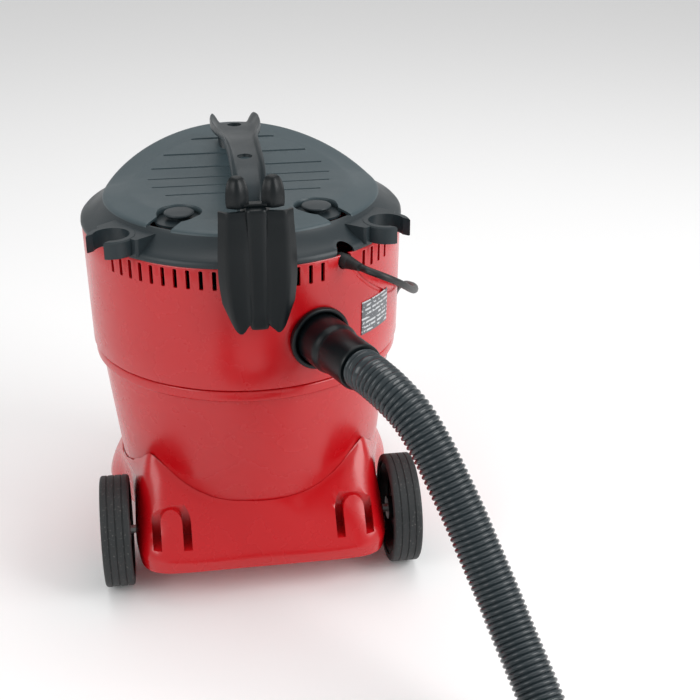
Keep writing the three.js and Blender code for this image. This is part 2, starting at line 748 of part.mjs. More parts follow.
// The carrying handle: it rises steeply at the rear, runs level over the lid and curls down in front.
// Each row gives y, z, and the half width and half thickness of the strip there.
function handle() {
  const line = [
    [-150, LID_REAR_HEIGHT - 8, 15, 7],
    [-147, LID_REAR_HEIGHT + 14, 16, 7],
    [-140, LID_REAR_HEIGHT + 32, 18, 7],
    [-126, GRIP_TOP - 20, 19, 7],
    [-105, GRIP_TOP - 12, 19, 7],
    [-70, GRIP_TOP - 9, 19, 7],
    [-30, GRIP_TOP - 9, 19.5, 7],
    [10, GRIP_TOP - 11, 20, 7],
    [50, GRIP_TOP - 13, 22, 7],
    [80, GRIP_TOP - 14, 26, 8],
    [100, GRIP_TOP - 16, 30, 9],
    [111, GRIP_TOP - 26, 29, 10],
    [112, GRIP_TOP - 40, 24, 10],
    [105, GRIP_TOP - 55, 19, 9],
    [98, GRIP_TOP - 67, 16, 9],
  ];
  const widest = GRIP_WIDTH / 38;
  const curve = new THREE.CatmullRomCurve3(line.map(([y, z]) => new THREE.Vector3(0, y, z)));
  const count = 24;
  const around = 12;
  const rings = [];
  for (let i = 0; i <= count; i++) {
    const t = i / count;
    const centre = curve.getPoint(t);
    const along = curve.getTangent(t);
    const up = new THREE.Vector3(0, -along.z, along.y);
    const place = t * (line.length - 1);
    const k = Math.min(Math.floor(place), line.length - 2);
    const half = THREE.MathUtils.lerp(line[k][2], line[k + 1][2], place - k) * widest;
    const thick = THREE.MathUtils.lerp(line[k][3], line[k + 1][3], place - k);
    const ring = [];
    for (let j = 0; j < around; j++) {
      const a = (j / around) * 2 * Math.PI;
      const across = half * Math.cos(a);
      const trough = Math.sin(a) > 0 ? 5 * Math.cos((Math.PI * across) / (2 * half)) : 0;
      const raise = thick * Math.sin(a) - trough;
      ring.push(new THREE.Vector3(across, centre.y + up.y * raise, centre.z + up.z * raise));
    }
    rings.push(ring);
  }
  addPiece("carry_handle", cut(lofted(rings), underLid(-GAP)), charcoal);
}

// ---- Cable holder at the rear ----
function cableHolder() {
  const half = HOLDER_WIDTH / 2;
  const core = HOLDER_CORE_WIDTH / 2;
  const wings = standing(
    [
      [-core, HOLDER_BOTTOM + 6],
      [-half * 0.42, HOLDER_BOTTOM - 4],
      [-half * 0.86, HOLDER_BOTTOM + 22],
      [-half, HOLDER_BOTTOM + 60],
      [-half * 0.92, HOLDER_TOP],
      [half * 0.92, HOLDER_TOP],
      [half, HOLDER_BOTTOM + 60],
      [half * 0.86, HOLDER_BOTTOM + 22],
      [half * 0.42, HOLDER_BOTTOM - 4],
      [core, HOLDER_BOTTOM + 6],
    ],
    -HOLDER_REAR,
    5,
  );
  const neck = HOUSING_TOP_RADIUS + 1 + GAP + 0.5;
  const spine = block([-core, -HOLDER_REAR + 4, HOLDER_BOTTOM + 6], [core, -neck, HOLDER_TOP - 2]);
  addPiece("cable_holder", join(wings, spine), black);
}

// Two ears joined by a low bar stand on top of the holder.
function cableBracket() {
  const foot = HOLDER_TOP + GAP;
  const rear = 13 - HOLDER_REAR;
  let body = block([-EAR_X, rear, foot], [EAR_X, rear + 10, foot + 5]);
  for (const [, side] of sides) {
    const x = side * EAR_X;
    const ear = standing(
      [
        [x - 12, foot],
        [x + 12, foot],
        [x + 12, EAR_TOP - 18],
        [x + 9.5, EAR_TOP - 7],
        [x + 5, EAR_TOP],
        [x - 5, EAR_TOP],
        [x - 9.5, EAR_TOP - 7],
        [x - 12, EAR_TOP - 18],
      ],
      rear - 5,
      15,
    );
    body = join(body, ear);
  }
  addPiece("cable_bracket", body, black);
}

// ---- Blow port, its grille and the rating plate ----
function blowPort() {
  const depth = PORT_DEPTH;
  const rimStart = HOUSING_RADIUS + 4 - (PORT_MOUTH - depth);
  const collar = [
    [PORT_BORE_RADIUS, 0],
    [PORT_BORE_RADIUS + WALL, 0],
    [PORT_BORE_RADIUS + WALL, rimStart],
    [PORT_RIM_RADIUS, rimStart],
    [PORT_RIM_RADIUS, depth - 2],
    [PORT_RIM_RADIUS - 2, depth],
    [PORT_BORE_RADIUS, depth],
  ];
  const start = from(PORT_ANGLE, PORT_MOUTH - depth, PORT_HEIGHT);
  addPiece("blow_port", turnedAlong(collar, start, outwards(PORT_ANGLE)), black);
  const ringInner = PORT_BORE_RADIUS - 3.5;
  let grille = turnedAlong(
    pipe(ringInner, PORT_BORE_RADIUS - GAP, 5),
    from(PORT_ANGLE, PORT_MOUTH - depth + 1, PORT_HEIGHT),
    outwards(PORT_ANGLE),
  );
  const low = PORT_MOUTH - depth + 1;
  for (const step of [-1, 0, 1]) {
    const z = PORT_HEIGHT + step * 14;
    const half = Math.sqrt((ringInner + 1) ** 2 - (Math.abs(step) * 14 + 2) ** 2);
    grille = join(grille, radialBlock(PORT_ANGLE, [-half, low, z - 1.5], [half, low + 5, z + 1.5]));
  }
  const post = [-1.5, low, PORT_HEIGHT - ringInner - 1];
  grille = join(grille, radialBlock(PORT_ANGLE, post, [1.5, low + 5, PORT_HEIGHT + ringInner + 1]));
  addPiece("blow_port_grille", grille, black);
}

function ratingPlate() {
  const low = PLATE_CENTRE_HEIGHT - PLATE_HEIGHT / 2;
  const high = PLATE_CENTRE_HEIGHT + PLATE_HEIGHT / 2;
  const skin = turned(
    [
      [housingRadius(low) + GAP, low],
      [housingRadius(low) + GAP + 0.8, low],
      [housingRadius(high) + GAP + 0.8, high],
      [housingRadius(high) + GAP, high],
    ],
    128,
  );
  const half = PLATE_WIDTH / 2;
  const slotCutter = radialBlock(PLATE_ANGLE, [-half, 100, low - 5], [half, BIG / 2, high + 5]);
  addPiece("rating_plate", skin.intersect(slotCutter), foilWhite);
}

// ---- Controls at the front ----
function frontPanel() {
  const span = Math.sin(radians(PANEL_HALF_ANGLE)) * HOUSING_RADIUS;
  const skin = turned([
    [housingRadius(PANEL_BOTTOM) + GAP, PANEL_BOTTOM],
    [housingRadius(PANEL_BOTTOM) + PANEL_THICKNESS, PANEL_BOTTOM],
    [housingRadius(PANEL_TOP) + PANEL_THICKNESS, PANEL_TOP],
    [housingRadius(PANEL_TOP) + GAP, PANEL_TOP],
  ]);
  const half = SOCKET_SIZE / 2 + GAP;
  let body = skin.intersect(block([-span, 50, PANEL_BOTTOM - 5], [span, BIG, PANEL_TOP + 5]));
  body = cut(
    body,
    block([-half, 50, SOCKET_HEIGHT - half], [half, BIG, SOCKET_HEIGHT + half]),
    turnedAlong(rod(5, 100), [SWITCH_X, 130, KNOB_HEIGHT], [0, 1, 0], SMALL_SIDES),
    turnedAlong(rod(5, 100), [REGULATOR_X, 130, KNOB_HEIGHT], [0, 1, 0], SMALL_SIDES),
  );
  addPiece("front_panel", body, charcoal);
}

const panelFace = HOUSING_TOP_RADIUS + PANEL_THICKNESS;

function knobs() {
  const wanted = [
    ["switch_knob", SWITCH_X, 22],
    ["regulator_knob", REGULATOR_X, 17],
  ];
  for (const [name, x, radius] of wanted) {
    const shaftStart = HOUSING_RADIUS - 42;
    const face = panelFace - 0.5 - shaftStart;
    const profile = [
      [0, 0],
      [4, 0],
      [4, face],
      [radius, face],
      [radius, face + 5],
      [radius - 3, face + 8],
      [0, face + 8],
    ];
    const body = turnedAlong(profile, [x, shaftStart, KNOB_HEIGHT], [0, 1, 0]);
    const bar = block(
      [x - 3.5, shaftStart + face + 6, KNOB_HEIGHT - radius + 3],
      [x + 3.5, shaftStart + face + 18, KNOB_HEIGHT + radius - 3],
    );
    addPiece(name, join(body, bar), red);
  }
  const back = HOUSING_RADIUS - 58;
  const board = block([-80, back - 3, KNOB_HEIGHT - 34], [80, back - GAP, KNOB_HEIGHT + 34]);
  addPiece("control_board", board, greenBoard);
  for (const [name, x] of [
    ["switch_module", SWITCH_X],
    ["regulator_module", REGULATOR_X],
  ]) {
    const module = block([x - 13, back, KNOB_HEIGHT - 13], [x + 13, back + 22, KNOB_HEIGHT + 13]);
    const bore = turnedAlong(rod(4 + FIT, 30), [x, HOUSING_RADIUS - 42 - FIT, KNOB_HEIGHT], [0, 1, 0], SMALL_SIDES);
    addPiece(name, cut(module, bore), black);
  }
}

function socket() {
  const half = SOCKET_SIZE / 2;
  const face = panelFace + 3;
  const back = face - 34;
  let body = block([-half, back, SOCKET_HEIGHT - half], [half, face, SOCKET_HEIGHT + half]);
  body = cut(
    body,
    turnedAlong(rod(19.5, 30), [0, face - 17, SOCKET_HEIGHT], [0, 1, 0]),
    turnedAlong(rod(2.6, 30), [-9.5, face - 27, SOCKET_HEIGHT], [0, 1, 0], SMALL_SIDES),
    turnedAlong(rod(2.6, 30), [9.5, face - 27, SOCKET_HEIGHT], [0, 1, 0], SMALL_SIDES),
  );
  const hingeHeight = SOCKET_HEIGHT + half + 3;
  const hingeY = face + 4;
  for (const end of [-1, 1]) {
    const across = [end * 17, end * 21].sort((a, b) => a - b);
    const low = [across[0], face - 1, SOCKET_HEIGHT + half - 4];
    body = join(body, block(low, [across[1], hingeY + 3.5, hingeHeight + 3.5]));
  }
  const pinHole = turnedAlong(rod(1.5 + GAP, 60), [-30, hingeY, hingeHeight], [1, 0, 0], SMALL_SIDES);
  addPiece("tool_socket", cut(body, pinHole), black);
  const pin = turnedAlong(rod(1.5, 42), [-21, hingeY, hingeHeight], [1, 0, 0], SMALL_SIDES);
  addPiece("socket_flap_pin", pin, steel);
  const leafStart = face + FIT;
  let flap = block([-half, leafStart, SOCKET_HEIGHT - half], [half, leafStart + 3, SOCKET_HEIGHT + half - 5]);
  flap = join(
    flap,
    block([-16.5, leafStart, SOCKET_HEIGHT + half - 6], [16.5, hingeY + 3, hingeHeight]),
    turnedAlong(rod(3.4, 33), [-16.5, hingeY, hingeHeight], [1, 0, 0], SMALL_SIDES),
  );
  flap = cut(flap, turnedAlong(rod(1.5 + FIT, 60), [-30, hingeY, hingeHeight], [1, 0, 0], SMALL_SIDES));
  addPiece("socket_flap", flap, charcoal);
}

// ---- Latches ----
function latches() {
  const rimClear = RIM_RADIUS + GAP + 0.5;
  for (const [name, side] of sides) {
    const angle = side * LATCH_ANGLE;
    const half = LATCH_WIDTH / 2;
    const clawBottom = CONTAINER_TOP - RIM_HEIGHT - 9;
    const { start, direction, length } = latchPinStart(side);
    let lever = radialBlock(angle, [-half, HOUSING_RADIUS + 5, clawBottom], [half, HOUSING_RADIUS + 10, 296]);
    lever = join(
      lever,
      radialBlock(angle, [-half, HOUSING_RADIUS + 6, 290], [half, LATCH_PIVOT_RADIUS + 3, 304]),
      radialBlock(
        angle,
        [-half + 4, rimClear, clawBottom],
        [half - 4, HOUSING_RADIUS + 6, CONTAINER_TOP - RIM_HEIGHT - 1],
      ),
      turnedAlong(
        rod(5, LATCH_WIDTH),
        [start[0] + direction[0] * 4.5, start[1] + direction[1] * 4.5, LATCH_PIVOT_HEIGHT],
        direction,
        SMALL_SIDES,
      ),
    );
    lever = cut(lever, turnedAlong(rod(LATCH_PIN_RADIUS + FIT, length), start, direction, SMALL_SIDES));
    addPiece(`latch_${name}`, lever, black);
    const pin = turnedAlong(rod(LATCH_PIN_RADIUS, length), start, direction, SMALL_SIDES);
    addPiece(`latch_pin_${name}`, pin, steel);
  }
}

// ---- Inside the head ----
const DECK_BOTTOM = SEAM_HEIGHT + WALL + GAP;
const DECK_TOP = DECK_BOTTOM + DECK_THICKNESS;

function motorDeck() {
  const deckRadius = HOUSING_RADIUS - WALL - 2;
  const deck = turned([
    [CAGE_RADIUS - 18, DECK_BOTTOM],
    [deckRadius, DECK_BOTTOM],
    [deckRadius, DECK_TOP],
    [CAGE_RADIUS - 18, DECK_TOP],
  ]);
  addPiece("motor_deck", deck, black);
  const sealHeight = 6;
  const seal = turned(
    [
      [MOTOR_RADIUS - 14, DECK_TOP + GAP],
      [MOTOR_RADIUS - 2, DECK_TOP + GAP],
      [MOTOR_RADIUS - 2, DECK_TOP + sealHeight],
      [MOTOR_RADIUS - 14, DECK_TOP + sealHeight],
    ],
    ROUND_SIDES,
  );
  addPiece("motor_seal", seal, rubber);
  const canBottom = DECK_TOP + sealHeight + GAP;
  const canTop = canBottom + MOTOR_HEIGHT;
  let can = turned(
    [
      [MOTOR_RADIUS - 16, canBottom],
      [MOTOR_RADIUS, canBottom],
      [MOTOR_RADIUS, canBottom + 38],
      [MOTOR_RADIUS - 14, canBottom + 44],
      [MOTOR_RADIUS - 14, canTop],
      [SHAFT_RADIUS + 4, canTop],
      [SHAFT_RADIUS + 4, canTop - 3],
      [MOTOR_RADIUS - 17, canTop - 3],
      [MOTOR_RADIUS - 17, canBottom + 41],
      [MOTOR_RADIUS - 3, canBottom + 35],
      [MOTOR_RADIUS - 3, canBottom + 3],
      [MOTOR_RADIUS - 16, canBottom + 3],
    ],
    ROUND_SIDES,
  );
  for (const angle of [0, 90, 180, 270]) {
    const low = [-9, MOTOR_RADIUS - 22, canBottom + 52];
    can = cut(can, radialBlock(angle + 45, low, [9, MOTOR_RADIUS - 8, canTop - 12]));
  }
  addPiece("motor_can", can, steel);
  const armature = turned(
    [
      [0, canBottom + 6],
      [SHAFT_RADIUS, canBottom + 6],
      [SHAFT_RADIUS, canBottom + 10],
      [FAN_RADIUS, canBottom + 10],
      [FAN_RADIUS, canBottom + 14],
      [16, canBottom + 22],
      [SHAFT_RADIUS, canBottom + 24],
      [SHAFT_RADIUS, canBottom + 44],
      [30, canBottom + 44],
      [30, canTop - 20],
      [SHAFT_RADIUS, canTop - 18],
      [SHAFT_RADIUS, canTop + 3],
      [0, canTop + 3],
    ],
    ROUND_SIDES,
  );
  addPiece("motor_armature", armature, copper);
}

function filterParts() {
  const top = DECK_BOTTOM - GAP;
  const flangeFoot = top - 4;
  const cageBottom = top - FILTER_HEIGHT;
  const wall = 2.5;
  let cage = turned(
    [
      [CAGE_RADIUS - wall, top],
      [CAGE_RADIUS - wall, cageBottom + wall],
      [SHAFT_RADIUS + 1, cageBottom + wall],
      [SHAFT_RADIUS + 1, cageBottom],
      [CAGE_RADIUS, cageBottom],
      [CAGE_RADIUS, flangeFoot],
      [FILTER_RADIUS + 6, flangeFoot],
      [FILTER_RADIUS + 6, top],
    ],
    ROUND_SIDES,
  );
  for (let i = 0; i < 8; i++) {
    const low = [-15, CAGE_RADIUS - 8, cageBottom + 22];
    cage = cut(cage, radialBlock(i * 45, low, [15, CAGE_RADIUS + 8, flangeFoot - 16]));
  }
  addPiece("filter_cage", cage, black);
  const cartridge = turned(
    [
      [CAGE_RADIUS + FIT, cageBottom + 2],
      [FILTER_RADIUS, cageBottom + 2],
      [FILTER_RADIUS, flangeFoot - GAP],
      [CAGE_RADIUS + FIT, flangeFoot - GAP],
    ],
    ROUND_SIDES,
  );
  addPiece("filter_cartridge", cartridge, paper);
  const floatFoot = cageBottom + wall + 1;
  const floatBody = turned(
    [
      [0, floatFoot],
      [FLOAT_RADIUS - 4, floatFoot],
      [FLOAT_RADIUS, floatFoot + 6],
      [FLOAT_RADIUS, floatFoot + FLOAT_HEIGHT],
      [FLOAT_RADIUS - 8, floatFoot + FLOAT_HEIGHT + 5],
      [0, floatFoot + FLOAT_HEIGHT + 5],
    ],
    ROUND_SIDES,
  );
  addPiece("float_valve", floatBody, foilWhite);
}

// ---- Mains lead ----
const glandFace = HOUSING_TOP_RADIUS + 6;
const glandTip = glandFace + 22;

function cableGland() {
  const start = from(CABLE_ANGLE, HOUSING_RADIUS - 6, CABLE_HEIGHT);
  const reach = glandTip - (HOUSING_RADIUS - 6);
  const profile = [
    [0, 0],
    [CABLE_RADIUS + 4, 0],
    [CABLE_RADIUS + 4, 12],
    [CABLE_RADIUS + 1.5, reach],
    [0, reach],
  ];
  addPiece("cable_gland", turnedAlong(profile, start, outwards(CABLE_ANGLE), SMALL_SIDES), black);
}

function mainsLead() {
  const exit = from(CABLE_ANGLE, glandTip + GAP, CABLE_HEIGHT);
  const route = [
    exit,
    from(CABLE_ANGLE, glandTip + 12, CABLE_HEIGHT),
    from(33.8, HOUSING_RADIUS + 54, 404),
    from(37.1, HOUSING_RADIUS + 58, 396),
    from(41.8, HOUSING_RADIUS + 56, 384),
    from(47.6, HOUSING_RADIUS + 49, 370),
    from(54.3, HOUSING_RADIUS + 40, 357),
    from(61.6, HOUSING_RADIUS + 31, 347),
    from(69.6, HOUSING_RADIUS + 23, 337),
    from(78.6, HOUSING_RADIUS + 16.5, 326),
    from(87.7, HOUSING_RADIUS + 13, 314),
    from(96.5, HOUSING_RADIUS + 12, 299),
    from(103.1, HOUSING_RADIUS + 14, 276),
    from(107.9, HOUSING_RADIUS + 18, 240),
    from(112.2, HOUSING_RADIUS + 22, 195),
    from(118.7, HOUSING_RADIUS + 30, 142),
    from(124.3, HOUSING_RADIUS + 43, 92),
    from(129.2, HOUSING_RADIUS + 61, 48),
    [187, 186, 17],
    [172, 215, 5.2],
    [142, 236, 4.6],
    [100, 245, 4.6],
    [54.5, 246, 4.6],
  ];
  addPiece("mains_cable", tube(route, CABLE_RADIUS, CABLE_SIDES, 42), rubber);
  const spread = CABLE_COIL_TURNS * CABLE_RADIUS;
  const [cx, cy] = CABLE_COIL_CENTRE;
  const ring = turnedAlong(
    pipe(CABLE_COIL_RADIUS - spread, CABLE_COIL_RADIUS + spread, 2 * spread),
    [cx, cy, GAP],
    [0, 0, 1],
    ROUND_SIDES,
  );
  addPiece("mains_coil", ring, rubber);
}

// The tail leaves the top of the coil on its left and lays the plug on the floor beside it.
const PLUG_PLACE = [-78, 372, 19];

function mainsPlug() {
  const [cx, cy] = CABLE_COIL_CENTRE;
  const outer = CABLE_COIL_RADIUS + CABLE_COIL_TURNS * CABLE_RADIUS;
  const tail = [
    [cx - outer - CABLE_RADIUS - GAP - 0.5, cy - 18, 28],
    [cx - outer - 8, cy - 2, 25],
    [cx - outer - 11, cy + 12, 21],
    [PLUG_PLACE[0] - 1, PLUG_PLACE[1] - 34, 19],
    [PLUG_PLACE[0], PLUG_PLACE[1] - 18, 19],
  ];
  addPiece("mains_tail", tube(tail, CABLE_RADIUS, CABLE_SIDES, 8), rubber);
  const [x, y, z] = PLUG_PLACE;
  const profile = [
    [0, 0],
    [6, 0],
    [8, 18],
    [17, 30],
    [18.5, 34],
    [18.5, 52],
    [0, 52],
  ];
  let plug = turnedAlong(profile, [x, y - 18 + GAP, z], [0, 1, 0]);
  for (const pin of [-9.5, 9.5]) {
    plug = join(plug, turnedAlong(rod(2.4, 20), [x + pin, y + 33, z], [0, 1, 0], SMALL_SIDES));
  }
  addPiece("mains_plug", plug, rubber);
}

// ---- Suction hose ----
const cuffStart = PORT_MOUTH - CUFF_INSERTED;
const cuffLength = CUFF_PLUG_LENGTH + CUFF_NECK_LENGTH;

function hoseConnector() {
  const bore = HOSE_BORE_RADIUS;
  const profile = [
    [bore + 5, 0],
    [CUFF_PLUG_RADIUS - 1, 0],
    [CUFF_PLUG_RADIUS, 4],
    [CUFF_PLUG_RADIUS, CUFF_PLUG_LENGTH - 4],
    [CUFF_NECK_RADIUS, CUFF_PLUG_LENGTH + 6],
    [CUFF_NECK_RADIUS, cuffLength],
    [bore, cuffLength],
    [bore, CUFF_PLUG_LENGTH],
    [bore + 5, CUFF_PLUG_LENGTH - 8],
  ];
  const start = from(PORT_ANGLE, cuffStart, PORT_HEIGHT);
  addPiece("hose_connector", turnedAlong(profile, start, outwards(PORT_ANGLE)), black);
}

function suctionHose() {
  const begin = cuffStart + cuffLength + GAP;
  const route = [
    from(PORT_ANGLE, begin, PORT_HEIGHT),
    from(PORT_ANGLE, begin + 26, PORT_HEIGHT),
    [123.6, -306.1, 319],
    [140.6, -327, 303],
    [156.7, -346.8, 277],
    [170.8, -366.2, 247],
    [184.8, -386.7, 215],
    [196.8, -406.8, 184],
    [209.3, -430, 152],
    [220.5, -455.1, 121],
    [229.5, -479, 97],
    [236.5, -499, 78],
    [244, -525, 56],
    [251, -557, 38.5],
    [254.8, -591, 28],
    [255.6, -622, 24.2],
  ];
  addPiece("suction_hose", tube(route, HOSE_RADIUS, HOSE_SIDES, 14), rubber);
}

// The unused length lies in a flat coil of two turns; its end curls inside with the end cuff on it.
function hoseCoil() {
  const [cx, cy] = HOSE_COIL_CENTRE;
  const ring = turnedAlong(
    pipe(HOSE_COIL_RADIUS - HOSE_TURN_STEP - HOSE_RADIUS, HOSE_COIL_RADIUS + HOSE_RADIUS, 2 * HOSE_RADIUS),
    [cx, cy, GAP],
    [0, 0, 1],
    DRUM_SIDES,
  );
  addPiece("hose_coil", ring, rubber);
  const tail = [
    [150, -50, 24],
    [137, -84, 24.4],
    [112, -110, 25.2],
    [78, -126, 26],
    [54, -131.4, 26.6],
    [39.3, -134.3, 26.8],
  ].map(([x, y, z]) => [cx + x, cy + y, z]);
  addPiece("hose_tail", tube(tail, HOSE_RADIUS, HOSE_SIDES, 3), rubber);
  const profile = [
    [HOSE_BORE_RADIUS, 0],
    [END_CUFF_RADIUS, 0],
    [END_CUFF_RADIUS, END_CUFF_LENGTH * 0.45],
    [END_CUFF_RADIUS - 2.5, END_CUFF_LENGTH * 0.55],
    [END_CUFF_RADIUS - 3.5, END_CUFF_LENGTH],
    [HOSE_BORE_RADIUS, END_CUFF_LENGTH],
  ];
  const cuff = turnedAlong(profile, [cx + 38.7, cy - 134.42, END_CUFF_RADIUS + 0.8], [-0.981, -0.194, 0]);
  addPiece("hose_end_cuff", cuff, black);
}

chassis();
rearWheels();
casters();
container();
inlet();
headHousing();
headSkirt();
lid();
pegs();
handle();
cableHolder();
cableBracket();
blowPort();
ratingPlate();
frontPanel();
knobs();
socket();
latches();
motorDeck();
filterParts();
cableGland();
mainsLead();
mainsPlug();
hoseConnector();
suctionHose();
hoseCoil();

export default vacuum;
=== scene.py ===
import math
import bmesh
import bpy
from mathutils import Matrix, Vector


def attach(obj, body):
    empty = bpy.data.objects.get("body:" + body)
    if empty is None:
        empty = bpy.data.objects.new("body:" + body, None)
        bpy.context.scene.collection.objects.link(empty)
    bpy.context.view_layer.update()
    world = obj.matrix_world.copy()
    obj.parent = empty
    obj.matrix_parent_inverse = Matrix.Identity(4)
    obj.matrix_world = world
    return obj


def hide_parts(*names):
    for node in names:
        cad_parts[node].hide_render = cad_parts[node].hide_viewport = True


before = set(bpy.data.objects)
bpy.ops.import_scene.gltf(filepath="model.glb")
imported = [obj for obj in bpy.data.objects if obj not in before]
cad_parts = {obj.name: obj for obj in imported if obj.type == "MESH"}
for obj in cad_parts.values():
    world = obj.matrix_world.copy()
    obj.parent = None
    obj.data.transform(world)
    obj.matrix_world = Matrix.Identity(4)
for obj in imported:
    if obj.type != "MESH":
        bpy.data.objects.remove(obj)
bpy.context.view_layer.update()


# ---- Container ----
# The tapered dirt container: one deep injection moulding in glossy red polypropylene, with a stepped
# band round its top edge that the motor head sits on. Shapes that are round about a line are turned:
# one point is extruded along half of the section and the section is spun.
def deselect():
    if bpy.context.object and bpy.context.object.mode != "OBJECT":
        bpy.ops.object.mode_set(mode="OBJECT")
    bpy.ops.object.select_all(action="DESELECT")


def settled(piece):
    """The piece's place goes into its mesh, so that the object sits at the origin."""
    deselect()
    piece.select_set(True)
    bpy.context.view_layer.objects.active = piece
    bpy.ops.object.transform_apply(location=True, rotation=True, scale=True)
    return piece


def finished(piece, kind, **settings):
    """One modifier, applied to the piece."""
    deselect()
    piece.select_set(True)
    bpy.context.view_layer.objects.active = piece
    bpy.ops.object.modifier_add(type=kind)
    added = piece.modifiers[-1]
    for key, value in settings.items():
        setattr(added, key, value)
    bpy.ops.object.modifier_apply(modifier=added.name)
    return piece


def rounded(piece, width, segments=2, angle=35):
    finished(piece, "BEVEL", width=width, segments=segments, limit_method="ANGLE",
             angle_limit=math.radians(angle), harden_normals=False, use_clamp_overlap=True)
    return piece


def smooth(piece, angle=35):
    deselect()
    piece.select_set(True)
    bpy.context.view_layer.objects.active = piece
    bpy.ops.object.shade_smooth_by_angle(angle=math.radians(angle))
    return piece


def turned(name, section, start=(0, 0, 0), along=(0, 0, 1), steps=96, closed=False):
    """A section of (radius, height) in metres, spun about the line from start along the direction."""
    turn = Vector((0, 0, 1)).rotation_difference(Vector(along)).to_matrix()
    places = [Vector(start) + turn @ Vector((r, 0, h)) for r, h in section]
    if closed:
        places.append(places[0])
    deselect()
    bpy.ops.mesh.primitive_plane_add(size=0.001, location=places[0])
    piece = bpy.context.object
    piece.name = name
    bpy.ops.object.mode_set(mode="EDIT")
    bpy.ops.mesh.merge(type="CENTER")
    for last, place in zip(places, places[1:]):
        bpy.ops.mesh.extrude_region_move(TRANSFORM_OT_translate={"value": place - last})
    bpy.ops.mesh.select_all(action="SELECT")
    bpy.ops.mesh.spin(steps=steps, angle=2 * math.pi, center=start, axis=turn @ Vector((0, 0, 1)))
    bpy.ops.mesh.select_all(action="SELECT")
    bpy.ops.mesh.remove_doubles(threshold=0.00002)
    bpy.ops.mesh.normals_make_consistent(inside=False)
    bpy.ops.object.mode_set(mode="OBJECT")
    return settled(piece)


def arc(centre, radius, first, last, count=6):
    """Points of a rounded corner of a section, its angles in degrees."""
    steps = [math.radians(first + (last - first) * i / count) for i in range(count + 1)]
    return [(centre[0] + radius * math.cos(a), centre[1] + radius * math.sin(a)) for a in steps]


def linear(hex_colour):
    """An sRGB hex colour as linear RGBA."""
    parts = [int(hex_colour[i:i + 2], 16) / 255 for i in (1, 3, 5)]
    return [c / 12.92 if c <= 0.04045 else ((c + 0.055) / 1.055) ** 2.4 for c in parts] + [1.0]


def add(tree, kind, links=(), **settings):
    """A node with its settings; links are (socket, value or (node, output)). A Mix node's colours are its
    sockets 6 and 7 and its output 2."""
    made = tree.nodes.new(kind)
    for key, value in settings.items():
        setattr(made, key, value)
    for socket, source in links:
        if isinstance(source, tuple) and isinstance(source[0], bpy.types.Node):
            tree.links.new(source[0].outputs[source[1]], made.inputs[socket])
        else:
            made.inputs[socket].default_value = source
    return made


def surface(name):
    """A new material with its shader and the place of each point on the piece."""
    made = bpy.data.materials.new(name)
    made.use_nodes = True
    tree = made.node_tree
    tree.nodes.clear()
    shader = tree.nodes.new("ShaderNodeBsdfPrincipled")
    out = tree.nodes.new("ShaderNodeOutputMaterial")
    tree.links.new(shader.outputs["BSDF"], out.inputs["Surface"])
    place = tree.nodes.new("ShaderNodeTexCoord")
    return made, tree, shader, (place, "Object")


def moulded(name, colour, shade, roughness, grain_mm, grain_depth, ior=1.49, coat=0.0, wear=0.06):
    """Injection-moulded plastic: slow drift of colour, fine grain from the tool, patchy gloss and dust."""
    made, tree, shader, place = surface(name)
    drift = add(tree, "ShaderNodeTexNoise", [("Vector", place), ("Scale", 9.0), ("Detail", 3.0)])
    tint = add(tree, "ShaderNodeMix", [(0, (drift, 0)), (6, linear(colour)), (7, linear(shade))],
               data_type="RGBA")
    specks = add(tree, "ShaderNodeTexNoise", [("Vector", place), ("Scale", 420.0), ("Detail", 2.0)])
    dust = add(tree, "ShaderNodeMapRange", [("Value", (specks, "Fac")), ("From Min", 0.62), ("From Max", 0.8),
                                            ("To Min", 0.0), ("To Max", wear)])
    dusty = add(tree, "ShaderNodeMix", [(0, (dust, 0)), (6, (tint, 2)), (7, linear("#c9c4bd"))],
                data_type="RGBA")
    tree.links.new(dusty.outputs[2], shader.inputs["Base Color"])
    patches = add(tree, "ShaderNodeTexNoise", [("Vector", place), ("Scale", 24.0), ("Detail", 5.0)])
    gloss = add(tree, "ShaderNodeMapRange", [("Value", (patches, "Fac")), ("From Min", 0.3), ("From Max", 0.7),
                                             ("To Min", roughness - 0.05), ("To Max", roughness + 0.06)])
    tree.links.new(gloss.outputs["Result"], shader.inputs["Roughness"])
    grain = add(tree, "ShaderNodeTexNoise", [("Vector", place), ("Scale", 1000.0 / grain_mm), ("Detail", 2.0)])
    relief = add(tree, "ShaderNodeBump", [("Height", (grain, "Fac")), ("Strength", grain_depth),
                                          ("Distance", 0.0004)])
    tree.links.new(relief.outputs["Normal"], shader.inputs["Normal"])
    shader.inputs["IOR"].default_value = ior
    shader.inputs["Coat Weight"].default_value = coat
    shader.inputs["Coat Roughness"].default_value = 0.18
    return made


# Polypropylene moulded in a polished tool: an even red with a broad soft highlight, and a faint ripple
# like the skin of an orange, 6 mm from crest to crest.
red_polypropylene = moulded("red moulded polypropylene", "#c30914", "#b90711", 0.26, 6.0, 0.012, coat=0.25,
                           wear=0.0)


def clothe(piece, material, body, slot, *nodes):
    piece.data.materials.clear()
    piece.data.materials.append(material)
    if nodes:
        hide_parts(*nodes)
    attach(piece, body)
    return piece


def container_radius(z):
    return 0.1535 + 0.0235 * (z - 0.060) / 0.2087


